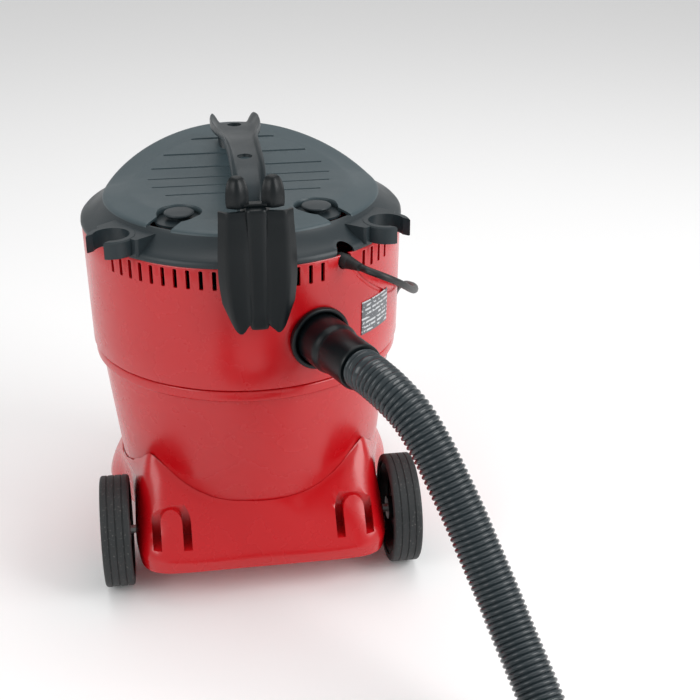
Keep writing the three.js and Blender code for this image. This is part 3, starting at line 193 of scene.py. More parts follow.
container_section = [(0.0, 0.0600), (0.120, 0.0600)]
container_section += arc((0.1465, 0.0672), 0.0070, -90, -6)
container_section += [(container_radius(z), z) for z in (0.100, 0.140, 0.180, 0.220, 0.2545)]
container_section += arc((0.1795, 0.2580), 0.0024, -90, 0, 3)
container_section += arc((0.1797, 0.2664), 0.0022, 0, 90, 3)
container_section += [(0.1740, 0.2686), (0.1735, 0.2640), (0.1620, 0.1600), (0.1500, 0.0660), (0.1470, 0.0637),
                      (0.0, 0.0637)]
container = turned("container_shell", container_section, steps=160)
smooth(container, 40)
clothe(container, red_polypropylene, "base", "red_shell", "container")


# ---- Rim seal ----
# A black rubber ring lies on the container's edge and closes the joint to the motor head. It shows as
# the thin dark line round the drum.
moulded_rubber = moulded("black moulded rubber", "#0f1112", "#15181a", 0.58, 1.4, 0.2, ior=1.52, wear=0.05)
seal = turned("rim_seal_ring", arc((0.1775, 0.2696), 0.0006, 0, 360, 8), steps=120)
smooth(seal)
clothe(seal, moulded_rubber, "base", "rubber", "rim_seal")


# ---- Chassis ----
# A wheeled tray moulded in the same red plastic as the container. Its skin climbs from a flat band at
# the foot to the container, with a pointed fender over each rear wheel and two horseshoe slots behind.
def drawn(name, rings, closed=True):
    """A circle extruded level by level, each level then moved to its own outline of points."""
    count = len(rings[0])
    deselect()
    bpy.ops.mesh.primitive_circle_add(vertices=count, radius=1, fill_type="NGON")
    piece = bpy.context.object
    piece.name = name
    bpy.ops.object.mode_set(mode="EDIT")
    bpy.ops.mesh.select_all(action="SELECT")
    for _ in rings[1:]:
        bpy.ops.mesh.extrude_region_move(TRANSFORM_OT_translate={"value": (0, 0, 1)})
    bpy.ops.object.mode_set(mode="OBJECT")
    for corner in piece.data.vertices:
        x, y, level = corner.co
        corner.co = rings[round(level)][round(math.atan2(y, x) / (2 * math.pi) * count) % count]
    bpy.ops.object.mode_set(mode="EDIT")
    bpy.ops.mesh.select_all(action="SELECT")
    bpy.ops.mesh.remove_doubles(threshold=0.00002)
    bpy.ops.mesh.normals_make_consistent(inside=False)
    bpy.ops.object.mode_set(mode="OBJECT")
    return piece


def block(name, low, high, angle=0.0, edge=0.0):
    """A bevelled bar between two corners given as (across, outwards, up), turned about the drum's axis."""
    deselect()
    bpy.ops.mesh.primitive_cube_add(size=1)
    piece = bpy.context.object
    piece.name = name
    bpy.ops.object.mode_set(mode="EDIT")
    bpy.ops.mesh.select_all(action="SELECT")
    size = [b - a for a, b in zip(low, high)]
    middle = [(a + b) / 2 for a, b in zip(low, high)]
    bpy.ops.transform.resize(value=size)
    if edge:
        bpy.ops.mesh.bevel(offset=edge, segments=2, affect="EDGES")
    bpy.ops.transform.translate(value=(middle[0], -middle[1], middle[2]))
    bpy.ops.object.mode_set(mode="OBJECT")
    piece.data.transform(Matrix.Rotation(math.radians(angle), 4, "Z"))
    return piece


def joined(name, *pieces):
    deselect()
    for piece in pieces:
        piece.select_set(True)
    bpy.context.view_layer.objects.active = pieces[0]
    if len(pieces) > 1:
        bpy.ops.object.join()
    pieces[0].name = name
    return pieces[0]


def worked(piece, operation, *tools):
    """The piece cut by tools, or made one with them."""
    for tool in tools:
        finished(piece, "BOOLEAN", operation=operation, object=tool, solver="EXACT")
        bpy.data.objects.remove(tool)
    return piece


def outwards(angle, radius, height=0.0):
    """The point at an angle in degrees from the rear, towards the right."""
    return Vector((math.sin(math.radians(angle)) * radius, -math.cos(math.radians(angle)) * radius, height))


def eased(value, low, high):
    t = min(1.0, max(0.0, (value - low) / (high - low)))
    return t * t * (3 - 2 * t)


def chassis_reach(angle):
    rear = 0.196 / max(math.cos(math.radians(angle)), 0.05)
    side = 0.150 / max(abs(math.sin(math.radians(angle))), 0.05)
    square = (rear ** -9 + side ** -9) ** (-1 / 9)
    past = eased(abs(angle), 72, 106)
    return square * (1 - past) + 0.186 * past


def chassis_top(angle):
    return 0.114 + 0.048 * max(0.0, 1 - abs(abs(angle) - 49) / 34) ** 1.7


chassis_levels = [0.0, 0.03, 0.17, 0.20, 0.30, 0.42, 0.54, 0.66, 0.78, 0.9, 0.97, 1.0]
chassis_rings = []
for t in chassis_levels:
    ring = []
    for i in range(180):
        angle = math.degrees(math.atan2(math.cos(2 * math.pi * i / 180), -math.sin(2 * math.pi * i / 180)))
        top = chassis_top(angle)
        lip = container_radius(top) + 0.0035
        foot = chassis_reach(angle) - 0.003 * max(0.0, 1 - t / 0.17)
        climb = max(0.0, (t - 0.17) / 0.83) ** 1.5
        tuck = 0.0012 * eased(t, 0.95, 1.0)
        ring.append(outwards(angle, foot + (lip - foot) * climb - tuck, 0.045 + (top - 0.045) * t))
    chassis_rings.append(ring)
chassis = drawn("chassis_tray", chassis_rings)
room = turned("room", [(0, 0.0597), (container_radius(0.0597) + 0.0008, 0.0597),
                       (container_radius(0.3) + 0.0008, 0.3), (0, 0.3)], steps=120)
worked(chassis, "DIFFERENCE", room)
for side in (-1, 1):
    arch = turned("arch", [(0.0125, 0), (0.0225, 0), (0.0225, 0.05), (0.0125, 0.05)],
                  start=(side * 0.107, -0.205, 0.098), along=(0, 1, 0), steps=48, closed=True)
    lower = block("lower", (side * 0.107 - 0.03, 0.14, 0.06), (side * 0.107 + 0.03, 0.22, 0.098))
    worked(arch, "DIFFERENCE", lower)
    legs = [block("leg", (side * 0.107 + way * 0.0175 - 0.005, 0.155, 0.073),
                  (side * 0.107 + way * 0.0175 + 0.005, 0.205, 0.099)) for way in (-1, 1)]
    worked(arch, "UNION", *legs)
    worked(chassis, "DIFFERENCE", arch)
rounded(chassis, 0.0009, 2, 42)
smooth(chassis, 38)
clothe(chassis, red_polypropylene, "base", "red_shell", "chassis")


# ---- Rear wheels ----
# Solid black plastic wheels: a soft tyre with fine ring grooves and a narrow side wall is pressed on a
# dished rim with ribs, and a snap cap covers the end of the steel axle.
tyre_rubber = moulded("matt tyre plastic", "#1b1e20", "#232728", 0.58, 2.0, 0.3, ior=1.5, wear=0.22)
black_polypropylene = moulded("black satin polypropylene", "#070d10", "#0b1215", 0.32, 1.2, 0.10, ior=1.36,
                             wear=0.0)
turned_steel = moulded("zinc plated steel", "#b9bbba", "#a3a6a6", 0.32, 3.0, 0.1, wear=0.02)
turned_steel.node_tree.nodes["Principled BSDF"].inputs["Metallic"].default_value = 1.0
for label, side in (("left", -1), ("right", 1)):
    body = "wheel_" + label
    start = (side * 0.154, -0.122, 0.066)
    along = (side, 0, 0)
    tread = [(0.0573, 0.0), (0.0600, 0.0)]
    tread += arc((0.0628, 0.0032), 0.0032, -90, 0, 4)
    for groove in (0.0085, 0.0170, 0.0255):
        tread += [(0.0660, groove - 0.0009), (0.0651, groove - 0.0004), (0.0651, groove + 0.0004),
                  (0.0660, groove + 0.0009)]
    tread += arc((0.0628, 0.0308), 0.0032, 0, 90, 4)
    tread += [(0.0600, 0.0340), (0.0573, 0.0340)]
    tyre = turned("tyre_" + label, tread, start, along, 128, closed=True)
    smooth(tyre, 40)
    clothe(tyre, tyre_rubber, body, "tyre", "wheel_tyre_" + label)
    dish = [(0.0055, 0.002), (0.014, 0.002), (0.014, 0.012), (0.0500, 0.012), (0.0540, 0.002), (0.0569, 0.002),
            (0.0569, 0.0318), (0.0530, 0.0322), (0.0505, 0.0250), (0.0180, 0.0235), (0.0160, 0.0290),
            (0.0055, 0.0290)]
    rim = turned("rim_" + label, dish, start, along, 96, closed=True)
    ribs = []
    for turn in range(6):
        rib = block("rib", (-0.0022, 0.0150, 0.0225), (0.0022, 0.0525, 0.0285), edge=0.0006)
        about = Matrix.Translation(start) @ Matrix.Rotation(math.radians(90 * side), 4, "Y") \
            @ Matrix.Rotation(math.radians(60 * turn), 4, "Z")
        rib.data.transform(about)
        ribs.append(rib)
    rim = joined("rim_" + label, rim, *ribs)
    smooth(rim, 35)
    clothe(rim, black_polypropylene, body, "black_plastic", "wheel_rim_" + label)
    cap = turned("cap_" + label, [(0, 0.0293), (0.0152, 0.0293)] + arc((0.0135, 0.0312), 0.0018, 0, 80, 4)
                 + [(0.006, 0.0327), (0, 0.0328)], start, along, 64)
    smooth(cap, 40)
    clothe(cap, black_polypropylene, body, "black_plastic", "wheel_cap_" + label)
    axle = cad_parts["wheel_axle_" + label]
    axle.data.materials.clear()
    axle.data.materials.append(turned_steel)


# ---- Front casters ----
# Two small swivelling casters under the front: a pressed-in stem on a forked black plastic body, and a
# hard wheel on a steel pin.
for label, side in (("left", -1), ("right", 1)):
    middle = side * 0.095
    wheel = turned("caster_roller_" + label,
                   [(0.003, 0.0), (0.0150, 0.0), (0.0172, 0.0007)] + arc((0.0165, 0.0030), 0.0025, -60, 0, 3)
                   + arc((0.0165, 0.0150), 0.0025, 0, 60, 3) + [(0.0150, 0.0180), (0.003, 0.0180)],
                   (middle - 0.009, 0.116, 0.019), (1, 0, 0), 64, closed=True)
    smooth(wheel, 40)
    clothe(wheel, tyre_rubber, "caster_roller_" + label, "tyre", "caster_wheel_" + label)
    plate = turned("caster_body_" + label, [(0, 0.0415), (0.0122, 0.0415), (0.0128, 0.0421), (0.0128, 0.0437),
                                            (0.0120, 0.0445), (0.005, 0.0445), (0.005, 0.083), (0, 0.084)],
                   (middle, 0.132, 0), (0, 0, 1), 48)
    cheeks = []
    for way in (-1, 1):
        near, far = sorted((middle + way * 0.0097, middle + way * 0.0125))
        cheek = block("cheek", (near, -0.125, 0.0115), (far, -0.107, 0.0440), edge=0.0007)
        cheeks.append(cheek)
    bridge = block("bridge", (middle - 0.0125, -0.140, 0.0415), (middle + 0.0125, -0.107, 0.0445), edge=0.0007)
    fork = joined("caster_body_" + label, plate, bridge, *cheeks)
    smooth(fork, 35)
    clothe(fork, black_polypropylene, "caster_" + label, "black_plastic", "caster_fork_" + label)
    pin = turned("caster_axle_" + label, [(0, 0), (0.0020, 0), (0.0025, 0.0004), (0.0025, 0.0246),
                                          (0.0020, 0.0250), (0, 0.0250)], (middle - 0.0125, 0.116, 0.019), (1, 0, 0), 24)
    smooth(pin, 35)
    clothe(pin, turned_steel, "caster_" + label, "steel", "caster_pin_" + label)


# ---- Motor head housing ----
# The red housing of the motor: a thin drum with a row of cooling slots under its upper edge, a shallow
# curved groove that leads from the cable outlet round to the front, and a turned-in foot.
def housing_radius(z):
    return 0.184 + 0.003 * (z - 0.270) / 0.146


housing_section = [(0.1750, 0.2702), (0.1815, 0.2702)] + arc((0.1822, 0.2722), 0.0018, -90, -5, 4)
housing_section += [(housing_radius(z), z) for z in (0.300, 0.330, 0.360, 0.390, 0.4145)]
housing_section += [(0.1862, 0.4157), (0.1840, 0.4157), (0.1836, 0.4120), (0.1806, 0.2740), (0.1750, 0.2735)]
housing = turned("motor_housing", housing_section, steps=200, closed=True)
slots = []
for way in (-1, 1):
    for place in range(3, 13):
        angle = way * (4.5 * place + 0.4)
        if abs(angle - 31.9) < 7:
            continue
        slots.append(block("slot", (-0.0023, 0.170, 0.391), (0.0023, 0.200, 0.4128), angle, 0.0010))
for cutter in slots:
    worked(housing, "DIFFERENCE", cutter)
port_room = turned("room", [(0, 0), (0.0338, 0), (0.0338, 0.06), (0, 0.06)], outwards(21.2, 0.150, 0.326),
                   outwards(21.2, 1), 64)
cable_room = turned("room", [(0, 0), (0.0095, 0), (0.0095, 0.04), (0, 0.04)], outwards(31.9, 0.165, 0.408),
                    outwards(31.9, 1), 32)
worked(housing, "DIFFERENCE", port_room, cable_room)


def swept(name, points, radius, sides=12, ends=True):
    """A round tube along points that lie close together, its rings square to the line."""
    line = [Vector(p) for p in points]
    shell = bmesh.new()
    rings = []
    ahead = (line[1] - line[0]).normalized()
    across = ahead.orthogonal().normalized()
    for i, point in enumerate(line):
        after = line[min(i + 1, len(line) - 1)] - line[max(i - 1, 0)]
        after.normalize()
        across = (ahead.rotation_difference(after) @ across)
        across = (across - after * across.dot(after)).normalized()
        ahead = after
        other = ahead.cross(across)
        r = radius(i) if callable(radius) else radius
        rings.append([shell.verts.new(point + (across * math.cos(a) + other * math.sin(a)) * r)
                      for a in (2 * math.pi * k / sides for k in range(sides))])
    for one, two in zip(rings, rings[1:]):
        for k in range(sides):
            shell.faces.new((one[k], one[(k + 1) % sides], two[(k + 1) % sides], two[k]))
    if ends:
        shell.faces.new(list(reversed(rings[0])))
        shell.faces.new(rings[-1])
    mesh = bpy.data.meshes.new(name)
    shell.to_mesh(mesh)
    shell.free()
    piece = bpy.data.objects.new(name, mesh)
    bpy.context.scene.collection.objects.link(piece)
    return piece


def through(points, count):
    """A smooth line of count points through a few, at even spacing."""
    line = [Vector(p) for p in points]
    line = [2 * line[0] - line[1]] + line + [2 * line[-1] - line[-2]]
    fine = []
    for a, b, c, d in zip(line, line[1:], line[2:], line[3:]):
        for k in range(24):
            t = k / 24
            fine.append(0.5 * (2 * b + (c - a) * t + (2 * a - 5 * b + 4 * c - d) * t * t
                               + (3 * b - a - 3 * c + d) * t ** 3))
    fine.append(line[-2])
    return evened(fine, count)


def evened(fine, count):
    reach = [0.0]
    for a, b in zip(fine, fine[1:]):
        reach.append(reach[-1] + (b - a).length)
    out, k = [], 0
    for i in range(count):
        goal = reach[-1] * i / (count - 1)
        while k < len(fine) - 2 and reach[k + 1] < goal:
            k += 1
        span = reach[k + 1] - reach[k]
        out.append(fine[k].lerp(fine[k + 1], (goal - reach[k]) / span if span else 0.0))
    return out


def length_of(line):
    return sum((b - a).length for a, b in zip(line, line[1:]))


sweep = [(33.5, 0.4150), (35.0, 0.4030), (38.5, 0.3850), (45.8, 0.3650), (57.0, 0.3450), (70.0, 0.3350),
         (84.0, 0.3320)]
groove_line = through([outwards(a, housing_radius(z) + 0.0012, z) for a, z in sweep], 60)
groove = swept("groove", groove_line, 0.0028, 12)
worked(housing, "DIFFERENCE", groove)
smooth(housing, 38)
clothe(housing, red_polypropylene, "head", "red_shell", "head_housing")


# ---- Head skirt and tube clips ----
# The charcoal skirt under the lid slopes in from the housing to the lid, and carries an open C-clip on
# either side that holds a suction tube. Finely grained ABS, softly shiny.
charcoal_abs = moulded("charcoal grained ABS", "#232c30", "#293236", 0.36, 0.9, 0.22, ior=1.42, wear=0.0)
skirt_outside = [(0.1850, 0.4160), (0.1872, 0.4160)] + arc((0.1862, 0.4176), 0.0018, -60, 20, 3)
skirt_outside += [(0.1876, 0.4210), (0.1850, 0.4238), (0.1800, 0.4262), (0.1740, 0.4300), (0.1685, 0.4346),
                  (0.1640, 0.4390), (0.1605, 0.4430), (0.1578, 0.4480), (0.1570, 0.4560), (0.1570, 0.5200)]
skirt_inside = [(r - 0.0030, z + 0.0006) for r, z in reversed(skirt_outside)]
skirt = turned("skirt", skirt_outside + skirt_inside, steps=180, closed=True)
for side in (-1, 1):
    angle = side * 50.8
    middle = outwards(angle, 0.194)
    jaw = turned("jaw", [(0, 0.4203), (0.0258, 0.4203), (0.0270, 0.4212), (0.0270, 0.4385), (0.0255, 0.4400),
                         (0, 0.4400)], middle, (0, 0, 1), 64)
    web = drawn("web", [[Matrix.Rotation(math.radians(angle), 3, "Z") @ Vector((x, -y, z)) for x, y in outline]
                        for z, outline in
                        ((z, [((0.0335 + 0.0 * z) * max(-1, min(1, 1.35 * math.cos(a))),
                               0.172 + 0.0165 * max(-1, min(1, 1.35 * math.sin(a)))) for a in
                              (2 * math.pi * k / 48 for k in range(48))]) for z in (0.4203, 0.4395))])
    hole = turned("hole", [(0, 0.40), (0.0200, 0.40), (0.0200, 0.46), (0, 0.46)], middle, (0, 0, 1), 64)
    mouth = block("mouth", (-0.0150, 0.194, 0.415), (0.0150, 0.240, 0.445), angle)
    worked(skirt, "UNION", jaw, web)
    worked(skirt, "DIFFERENCE", hole, mouth)
inside = turned("inside", [(0, 0.40), (0.1840, 0.40), (0.1840, 0.4170)]
                + [(r - 0.0030, z) for r, z in skirt_outside[6:]] + [(0, 0.52)], steps=180)
worked(skirt, "DIFFERENCE", inside)


def lid_height(y):
    """The lid's upper face over the floor: level at the rear, curling up towards the front."""
    return 0.452 + 0.037 * (max(0.0, y - 0.030) / 0.131) ** 1.6


cap_profile = [(-0.30, 0.4445)] + [(y / 1000, lid_height(y / 1000) - 0.0075) for y in range(30, 176, 8)] \
    + [(0.30, lid_height(0.174) - 0.0075), (0.30, 0.60), (-0.30, 0.60)]
deselect()
bpy.ops.mesh.primitive_plane_add(size=0.001, location=(-0.3, cap_profile[0][0], cap_profile[0][1]))
over = bpy.context.object
bpy.ops.object.mode_set(mode="EDIT")
bpy.ops.mesh.merge(type="CENTER")
for (y0, z0), (y1, z1) in zip(cap_profile, cap_profile[1:] + cap_profile[:1]):
    bpy.ops.mesh.extrude_region_move(TRANSFORM_OT_translate={"value": (0, y1 - y0, z1 - z0)})
bpy.ops.mesh.select_all(action="SELECT")
bpy.ops.mesh.remove_doubles(threshold=0.00002)
bpy.ops.mesh.edge_face_add()
bpy.ops.mesh.extrude_region_move(TRANSFORM_OT_translate={"value": (0.6, 0, 0)})
bpy.ops.mesh.select_all(action="SELECT")
bpy.ops.mesh.normals_make_consistent(inside=False)
bpy.ops.object.mode_set(mode="OBJECT")
settled(over)
worked(skirt, "DIFFERENCE", over)
notch = turned("notch", [(0, 0), (0.0125, 0), (0.0125, 0.06), (0, 0.06)], outwards(31.9, 0.157, 0.4155),
               outwards(31.9, 1), 48)
worked(skirt, "DIFFERENCE", notch)
rounded(skirt, 0.0008, 2, 50)
smooth(skirt, 40)
clothe(skirt, charcoal_abs, "head", "charcoal_shell", "head_skirt")


# ---- Top lid ----
# The grey lid: a dished disc with a broad bevelled border, six moulded grooves across it and a round
# recess for each parking peg. It curls up towards the front.
slate_abs = moulded("slate grained ABS", "#3b484d", "#415055", 0.38, 0.9, 0.22, ior=1.42, wear=0.0)
lid_section = [(0.0, 0.0)] + [(0.01 * k, 0.0) for k in range(1, 13)]
lid_section += [(0.1270, 0.0), (0.1300, -0.0002), (0.1330, -0.0010), (0.1380, -0.0022), (0.1440, -0.0034),
                (0.1500, -0.0044), (0.1555, -0.0054), (0.1590, -0.0064), (0.1606, -0.0080), (0.1610, -0.0098),
                (0.1602, -0.0112), (0.1580, -0.0116), (0.1500, -0.0070)]
lid_section += [(0.1300 - 0.013 * k, -0.0070) for k in range(0, 10)] + [(0.0, -0.0070)]
lid = turned("lid", lid_section, steps=180)
for corner in lid.data.vertices:
    corner.co.z += lid_height(corner.co.y)
for k in range(6):
    y = -0.036 + 0.0312 * k
    half = math.sqrt(0.108 ** 2 - (y - 0.025) ** 2)
    z = lid_height(y)
    slit = block("slit", (-half, -y - 0.0016, z - 0.0020), (half, -y + 0.0016, z + 0.010), edge=0.0008)
    worked(lid, "DIFFERENCE", slit)
for side in (-1, 1):
    recess = turned("recess", [(0, -0.02), (0.0238, -0.02), (0.0246, -0.003), (0.0256, 0.0000), (0.0256, 0.02),
                               (0, 0.02)], (side * 0.076, -0.095, 0.452), (0, 0, 1), 72)
    away = math.degrees(math.atan2(side * 0.076, 0.095))
    way = block("way", (-0.0165, 0.1217, 0.430), (0.0165, 0.180, 0.460), away, 0.004)
    worked(lid, "DIFFERENCE", recess, way)
rounded(lid, 0.0006, 2, 48)
smooth(lid, 36)
clothe(lid, slate_abs, "head", "slate_lid", "top_lid")


# ---- Parking pegs ----
# Two discs on short stems in the lid's recesses, where the end of a floor tool parks. The ring round
# each disc is part of the same charcoal moulding.
for label, side in (("left", -1), ("right", 1)):
    peg = turned("peg_" + label, [(0, 0.4417), (0.0280, 0.4417), (0.0280, 0.4444), (0.0255, 0.4446), (0.0110, 0.4450),
                                  (0.0100, 0.4460), (0.0100, 0.4475), (0.0150, 0.4484)]
                 + arc((0.0150, 0.4508), 0.0018, -30, 80, 5) + [(0.0120, 0.4532), (0.0, 0.4536)],
                 (side * 0.076, -0.095, 0), (0, 0, 1), 72)
    smooth(peg, 38)
    clothe(peg, charcoal_abs, "head", "slate_lid", "parking_peg_" + label)


# ---- Carrying handle ----
# One charcoal moulding: a strip with a hollow for the palm and thin raised edges rises from the rear of
# the lid, widens at its crest and curls back down in a nose. Two deep screw holes fix it.
grip_line = [(-0.148, 0.445, 15, 6), (-0.146, 0.464, 16, 7), (-0.139, 0.484, 18, 7), (-0.125, 0.497, 19, 7),
             (-0.104, 0.505, 19, 7), (-0.070, 0.508, 19, 7), (-0.030, 0.508, 19.5, 7), (0.010, 0.506, 20, 7),
             (0.048, 0.504, 22, 7), (0.076, 0.504, 27, 8), (0.096, 0.502, 30, 9), (0.1080, 0.492, 29.5, 9),
             (0.1105, 0.478, 24, 9), (0.1050, 0.464, 19, 9), (0.0990, 0.4545, 16, 9)]
grip_path = through([(0, y, z) for y, z, w, t in grip_line], 70)
grip_rings = []
for i, centre in enumerate(grip_path):
    place = i / (len(grip_path) - 1) * (len(grip_line) - 1)
    k = min(int(place), len(grip_line) - 2)
    half = (grip_line[k][2] + (grip_line[k + 1][2] - grip_line[k][2]) * (place - k)) / 1000
    thick = (grip_line[k][3] + (grip_line[k + 1][3] - grip_line[k][3]) * (place - k)) / 1000
    ahead = (grip_path[min(i + 1, 69)] - grip_path[max(i - 1, 0)]).normalized()
    up = Vector((0, -ahead.z, ahead.y))
    ring = []
    for j in range(48):
        a = 2 * math.pi * j / 48
        across = half * math.copysign(abs(math.cos(a)) ** 0.8, math.cos(a))
        if math.sin(a) >= 0:
            edge = eased(abs(across) / half, 0.60, 0.97)
            raised = thick * (-0.45 + 1.30 * edge) * min(1.0, 3.2 * math.sin(a) ** 0.9)
        else:
            raised = -thick * abs(math.sin(a)) ** 0.7
        ring.append(centre + Vector((across, 0, 0)) + up * raised)
    grip_rings.append(ring)
grip = drawn("handle", grip_rings)
for y, z, r in ((0.078, 0.503, 0.0085), (-0.072, 0.507, 0.0085)):
    bore = turned("bore", [(0, -0.012), (r, -0.012), (r, 0.004), (r + 0.002, 0.009), (r + 0.002, 0.03), (0, 0.03)],
                  (0, y, z - 0.002), (0, 0.0, 1.0), 40)
    worked(grip, "DIFFERENCE", bore)
smooth(grip, 44)
clothe(grip, charcoal_abs, "head", "charcoal_shell", "carry_handle")



# ---- Cable holder ----
# Two black blades like a split shield stand off the rear of the head on a narrow spine; the mains lead
# can be wound round the spine behind them. The blades bulge outwards and are rounded at the foot.
def shield(name, half_at, foot_at, top, rear, thick, rows=14, columns=25):
    """A plate seen from the rear: its half width and foot follow the two outlines, its face bulges."""
    rings = []
    for row in range(rows + 1):
        t = row / rows
        front, back = [], []
        for column in range(columns + 1):
            u = -1 + 2 * column / columns
            foot = foot_at(u)
            z = foot + (top(u) - foot) * t
            x = u * half_at(z)
            y = -rear(u, z)
            front.append(Vector((x, y, z)))
            back.append(Vector((x * 0.985, y + thick, z)))
        rings.append(front + list(reversed(back)))
    return drawn(name, rings)


def blade_half(z):
    t = (z - 0.352) / 0.135
    return 0.0415 * (0.86 + 0.14 * eased(t, 0.0, 0.50) - 0.060 * eased(t, 0.55, 1.0))


def blade_foot(u):
    a = abs(u)
    if a < 0.56:
        return 0.3520 + 0.0125 * (1 - eased(a, 0.20, 0.56))
    return 0.3520 + 0.0330 * ((a - 0.56) / 0.44) ** 2.0


def blade_rear(u, z):
    a = abs(u)
    bulge = 0.0068 * math.sqrt(max(0.0, 1 - ((a - 0.60) / 0.60) ** 2)) if a > 0.08 else 0.0
    valley = -0.0045 * (1 - eased(a, 0.04, 0.24))
    curl = -0.0080 * eased(a, 0.76, 1.0)
    foot = -0.0050 * (1 - eased(z, 0.352, 0.385)) * eased(a, 0.5, 1.0)
    return 0.2055 + bulge + valley + curl + foot - 0.0035 * eased(z, 0.44, 0.487)


blades = shield("cable_blades", blade_half, blade_foot, lambda u: 0.4865 - 0.0015 * abs(u) ** 3, blade_rear, 0.0045)
spine = block("spine", (-0.0160, 0.1885, 0.3600), (0.0160, 0.2055, 0.4850), edge=0.0030)
ridge = drawn("ridge", [[Vector((0.0115 * math.copysign(abs(math.cos(a)) ** 0.6, math.cos(a)) * w,
                                 -0.2055 - 0.0068 * math.copysign(abs(math.sin(a)) ** 0.7, math.sin(a)) * w, z))
                         for a in (2 * math.pi * k / 32 for k in range(32))]
                        for z, w in ((0.3560, 0.80), (0.3600, 0.95), (0.3750, 0.90), (0.4100, 0.88), (0.4700, 0.95),
                                     (0.4850, 1.0), (0.4885, 0.92))])
worked(blades, "UNION", spine, ridge)
rounded(blades, 0.0008, 2, 50)
smooth(blades, 50)
clothe(blades, black_polypropylene, "head", "black_plastic", "cable_holder")


# ---- Cable bracket ----
# Two upright ears on a low bar stand on top of the holder. They keep the winding from slipping
# upwards; each is a rounded hood.
ears = [block("foot", (-0.0195, 0.1900, 0.4876), (0.0195, 0.2000, 0.4922), edge=0.0012)]
for side in (-1, 1):
    middle = side * 0.0185
    levels = []
    for z, half, deep, lean in ((0.4876, 0.0112, 0.0046, 0.0), (0.4915, 0.0118, 0.0052, 0.0),
                                (0.4970, 0.0120, 0.0058, 0.0004), (0.5030, 0.0118, 0.0060, 0.0010),
                                (0.5090, 0.0110, 0.0058, 0.0020), (0.5140, 0.0096, 0.0052, 0.0032),
                                (0.5175, 0.0076, 0.0044, 0.0044), (0.5195, 0.0050, 0.0032, 0.0054)):
        levels.append([Vector((middle + half * math.cos(a), -0.1970 - deep * math.sin(a) ** 3 * 1.1 + lean, z))
                       for a in (2 * math.pi * k / 40 for k in range(40))])
    ears.append(drawn("ear", levels))
bracket = joined("cable_ears", *ears)
smooth(bracket, 45)
clothe(bracket, black_polypropylene, "head", "black_plastic", "cable_bracket")


# ---- Blow port and grille ----
# The exhaust outlet: a thick black collar with a soft lip, pressed into the housing, and a grille of
# three level bars and one upright deep inside it.
port_axis = outwards(21.2, 1)
collar = turned("blow_collar", [(0.0300, 0.0), (0.0333, 0.0), (0.0334, 0.0405), (0.0352, 0.0412), (0.0360, 0.0424)]
                + arc((0.0336, 0.0456), 0.0024, 0, 90, 6) + [(0.0325, 0.0480), (0.0312, 0.0474), (0.0304, 0.0462),
                                                             (0.0301, 0.0440)],
                outwards(21.2, 0.145, 0.326), port_axis, 128, closed=True)
smooth(collar, 40)
clothe(collar, black_polypropylene, "head", "black_plastic", "blow_port")
bars = [turned("blow_grille", [(0.0262, 0), (0.0296, 0), (0.0296, 0.0048), (0.0286, 0.0050), (0.0270, 0.0050),
                               (0.0262, 0.0044)], outwards(21.2, 0.146, 0.326), port_axis, 96, closed=True)]
for step in (-1, 0, 1):
    half = math.sqrt(0.0272 ** 2 - (abs(step) * 0.014 + 0.002) ** 2)
    bars.append(block("bar", (-half, 0.1462, 0.3245 + step * 0.014), (half, 0.1540, 0.3275 + step * 0.014), 21.2,
                      0.0007))
bars.append(block("bar", (-0.0013, 0.1464, 0.3000), (0.0013, 0.1520, 0.3520), 21.2, 0.0005))
grille = joined("blow_grille", *bars)
smooth(grille, 35)
clothe(grille, black_polypropylene, "head", "black_plastic", "blow_port_grille")


# ---- Rating plate ----
# A printed foil label on the housing beside the port. Its print is replaced with plain grey rows.
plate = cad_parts["rating_plate"]
foil, tree, shader, place = surface("printed foil")
axes = add(tree, "ShaderNodeSeparateXYZ", [("Vector", place)])
rows = add(tree, "ShaderNodeMath", [(0, (axes, 2)), (1, 0.0052)], operation="MODULO")
row = add(tree, "ShaderNodeMath", [(0, (rows, 0)), (1, 0.0024)], operation="LESS_THAN")
words = add(tree, "ShaderNodeTexNoise", [("Vector", place), ("Scale", 190.0), ("Detail", 1.0)])
word = add(tree, "ShaderNodeMath", [(0, (words, 0)), (1, 0.47)], operation="GREATER_THAN")
print_ink = add(tree, "ShaderNodeMath", [(0, (row, 0)), (1, (word, 0))], operation="MULTIPLY")
sheet_colour = add(tree, "ShaderNodeMix", [(0, (print_ink, 0)), (6, linear("#5b5f63")), (7, linear("#c9ccce"))],
                   data_type="RGBA")
tree.links.new(sheet_colour.outputs[2], shader.inputs["Base Color"])
crinkle = add(tree, "ShaderNodeTexNoise", [("Vector", place), ("Scale", 300.0)])
relief = add(tree, "ShaderNodeBump", [("Height", (crinkle, 0)), ("Strength", 0.1), ("Distance", 0.0002)])
tree.links.new(relief.outputs["Normal"], shader.inputs["Normal"])
shader.inputs["Roughness"].default_value = 0.32
plate.data.materials.clear()
plate.data.materials.append(foil)


# ---- Hose connector ----
# The black two-step cuff on the hose's end: a wide plug for the port, a soft step and a narrower
# collar that the hose is screwed into. Moulded in satin polypropylene.
connector = turned("hose_cuff", [(0.0240, 0.0), (0.0276, 0.0), (0.0286, 0.0012), (0.0290, 0.0040), (0.0290, 0.0390),
                                 (0.0287, 0.0420), (0.0278, 0.0445), (0.0264, 0.0470), (0.0260, 0.0492),
                                 (0.0260, 0.0500), (0.0255, 0.0505), (0.0260, 0.0510), (0.0260, 0.0925),
                                 (0.0256, 0.0950), (0.0248, 0.0960), (0.0190, 0.0960), (0.0190, 0.0440),
                                 (0.0240, 0.0360)], outwards(21.2, 0.181, 0.326), port_axis, 128, closed=True)
smooth(connector, 38)
clothe(connector, black_polypropylene, "hose", "black_plastic", "hose_connector")


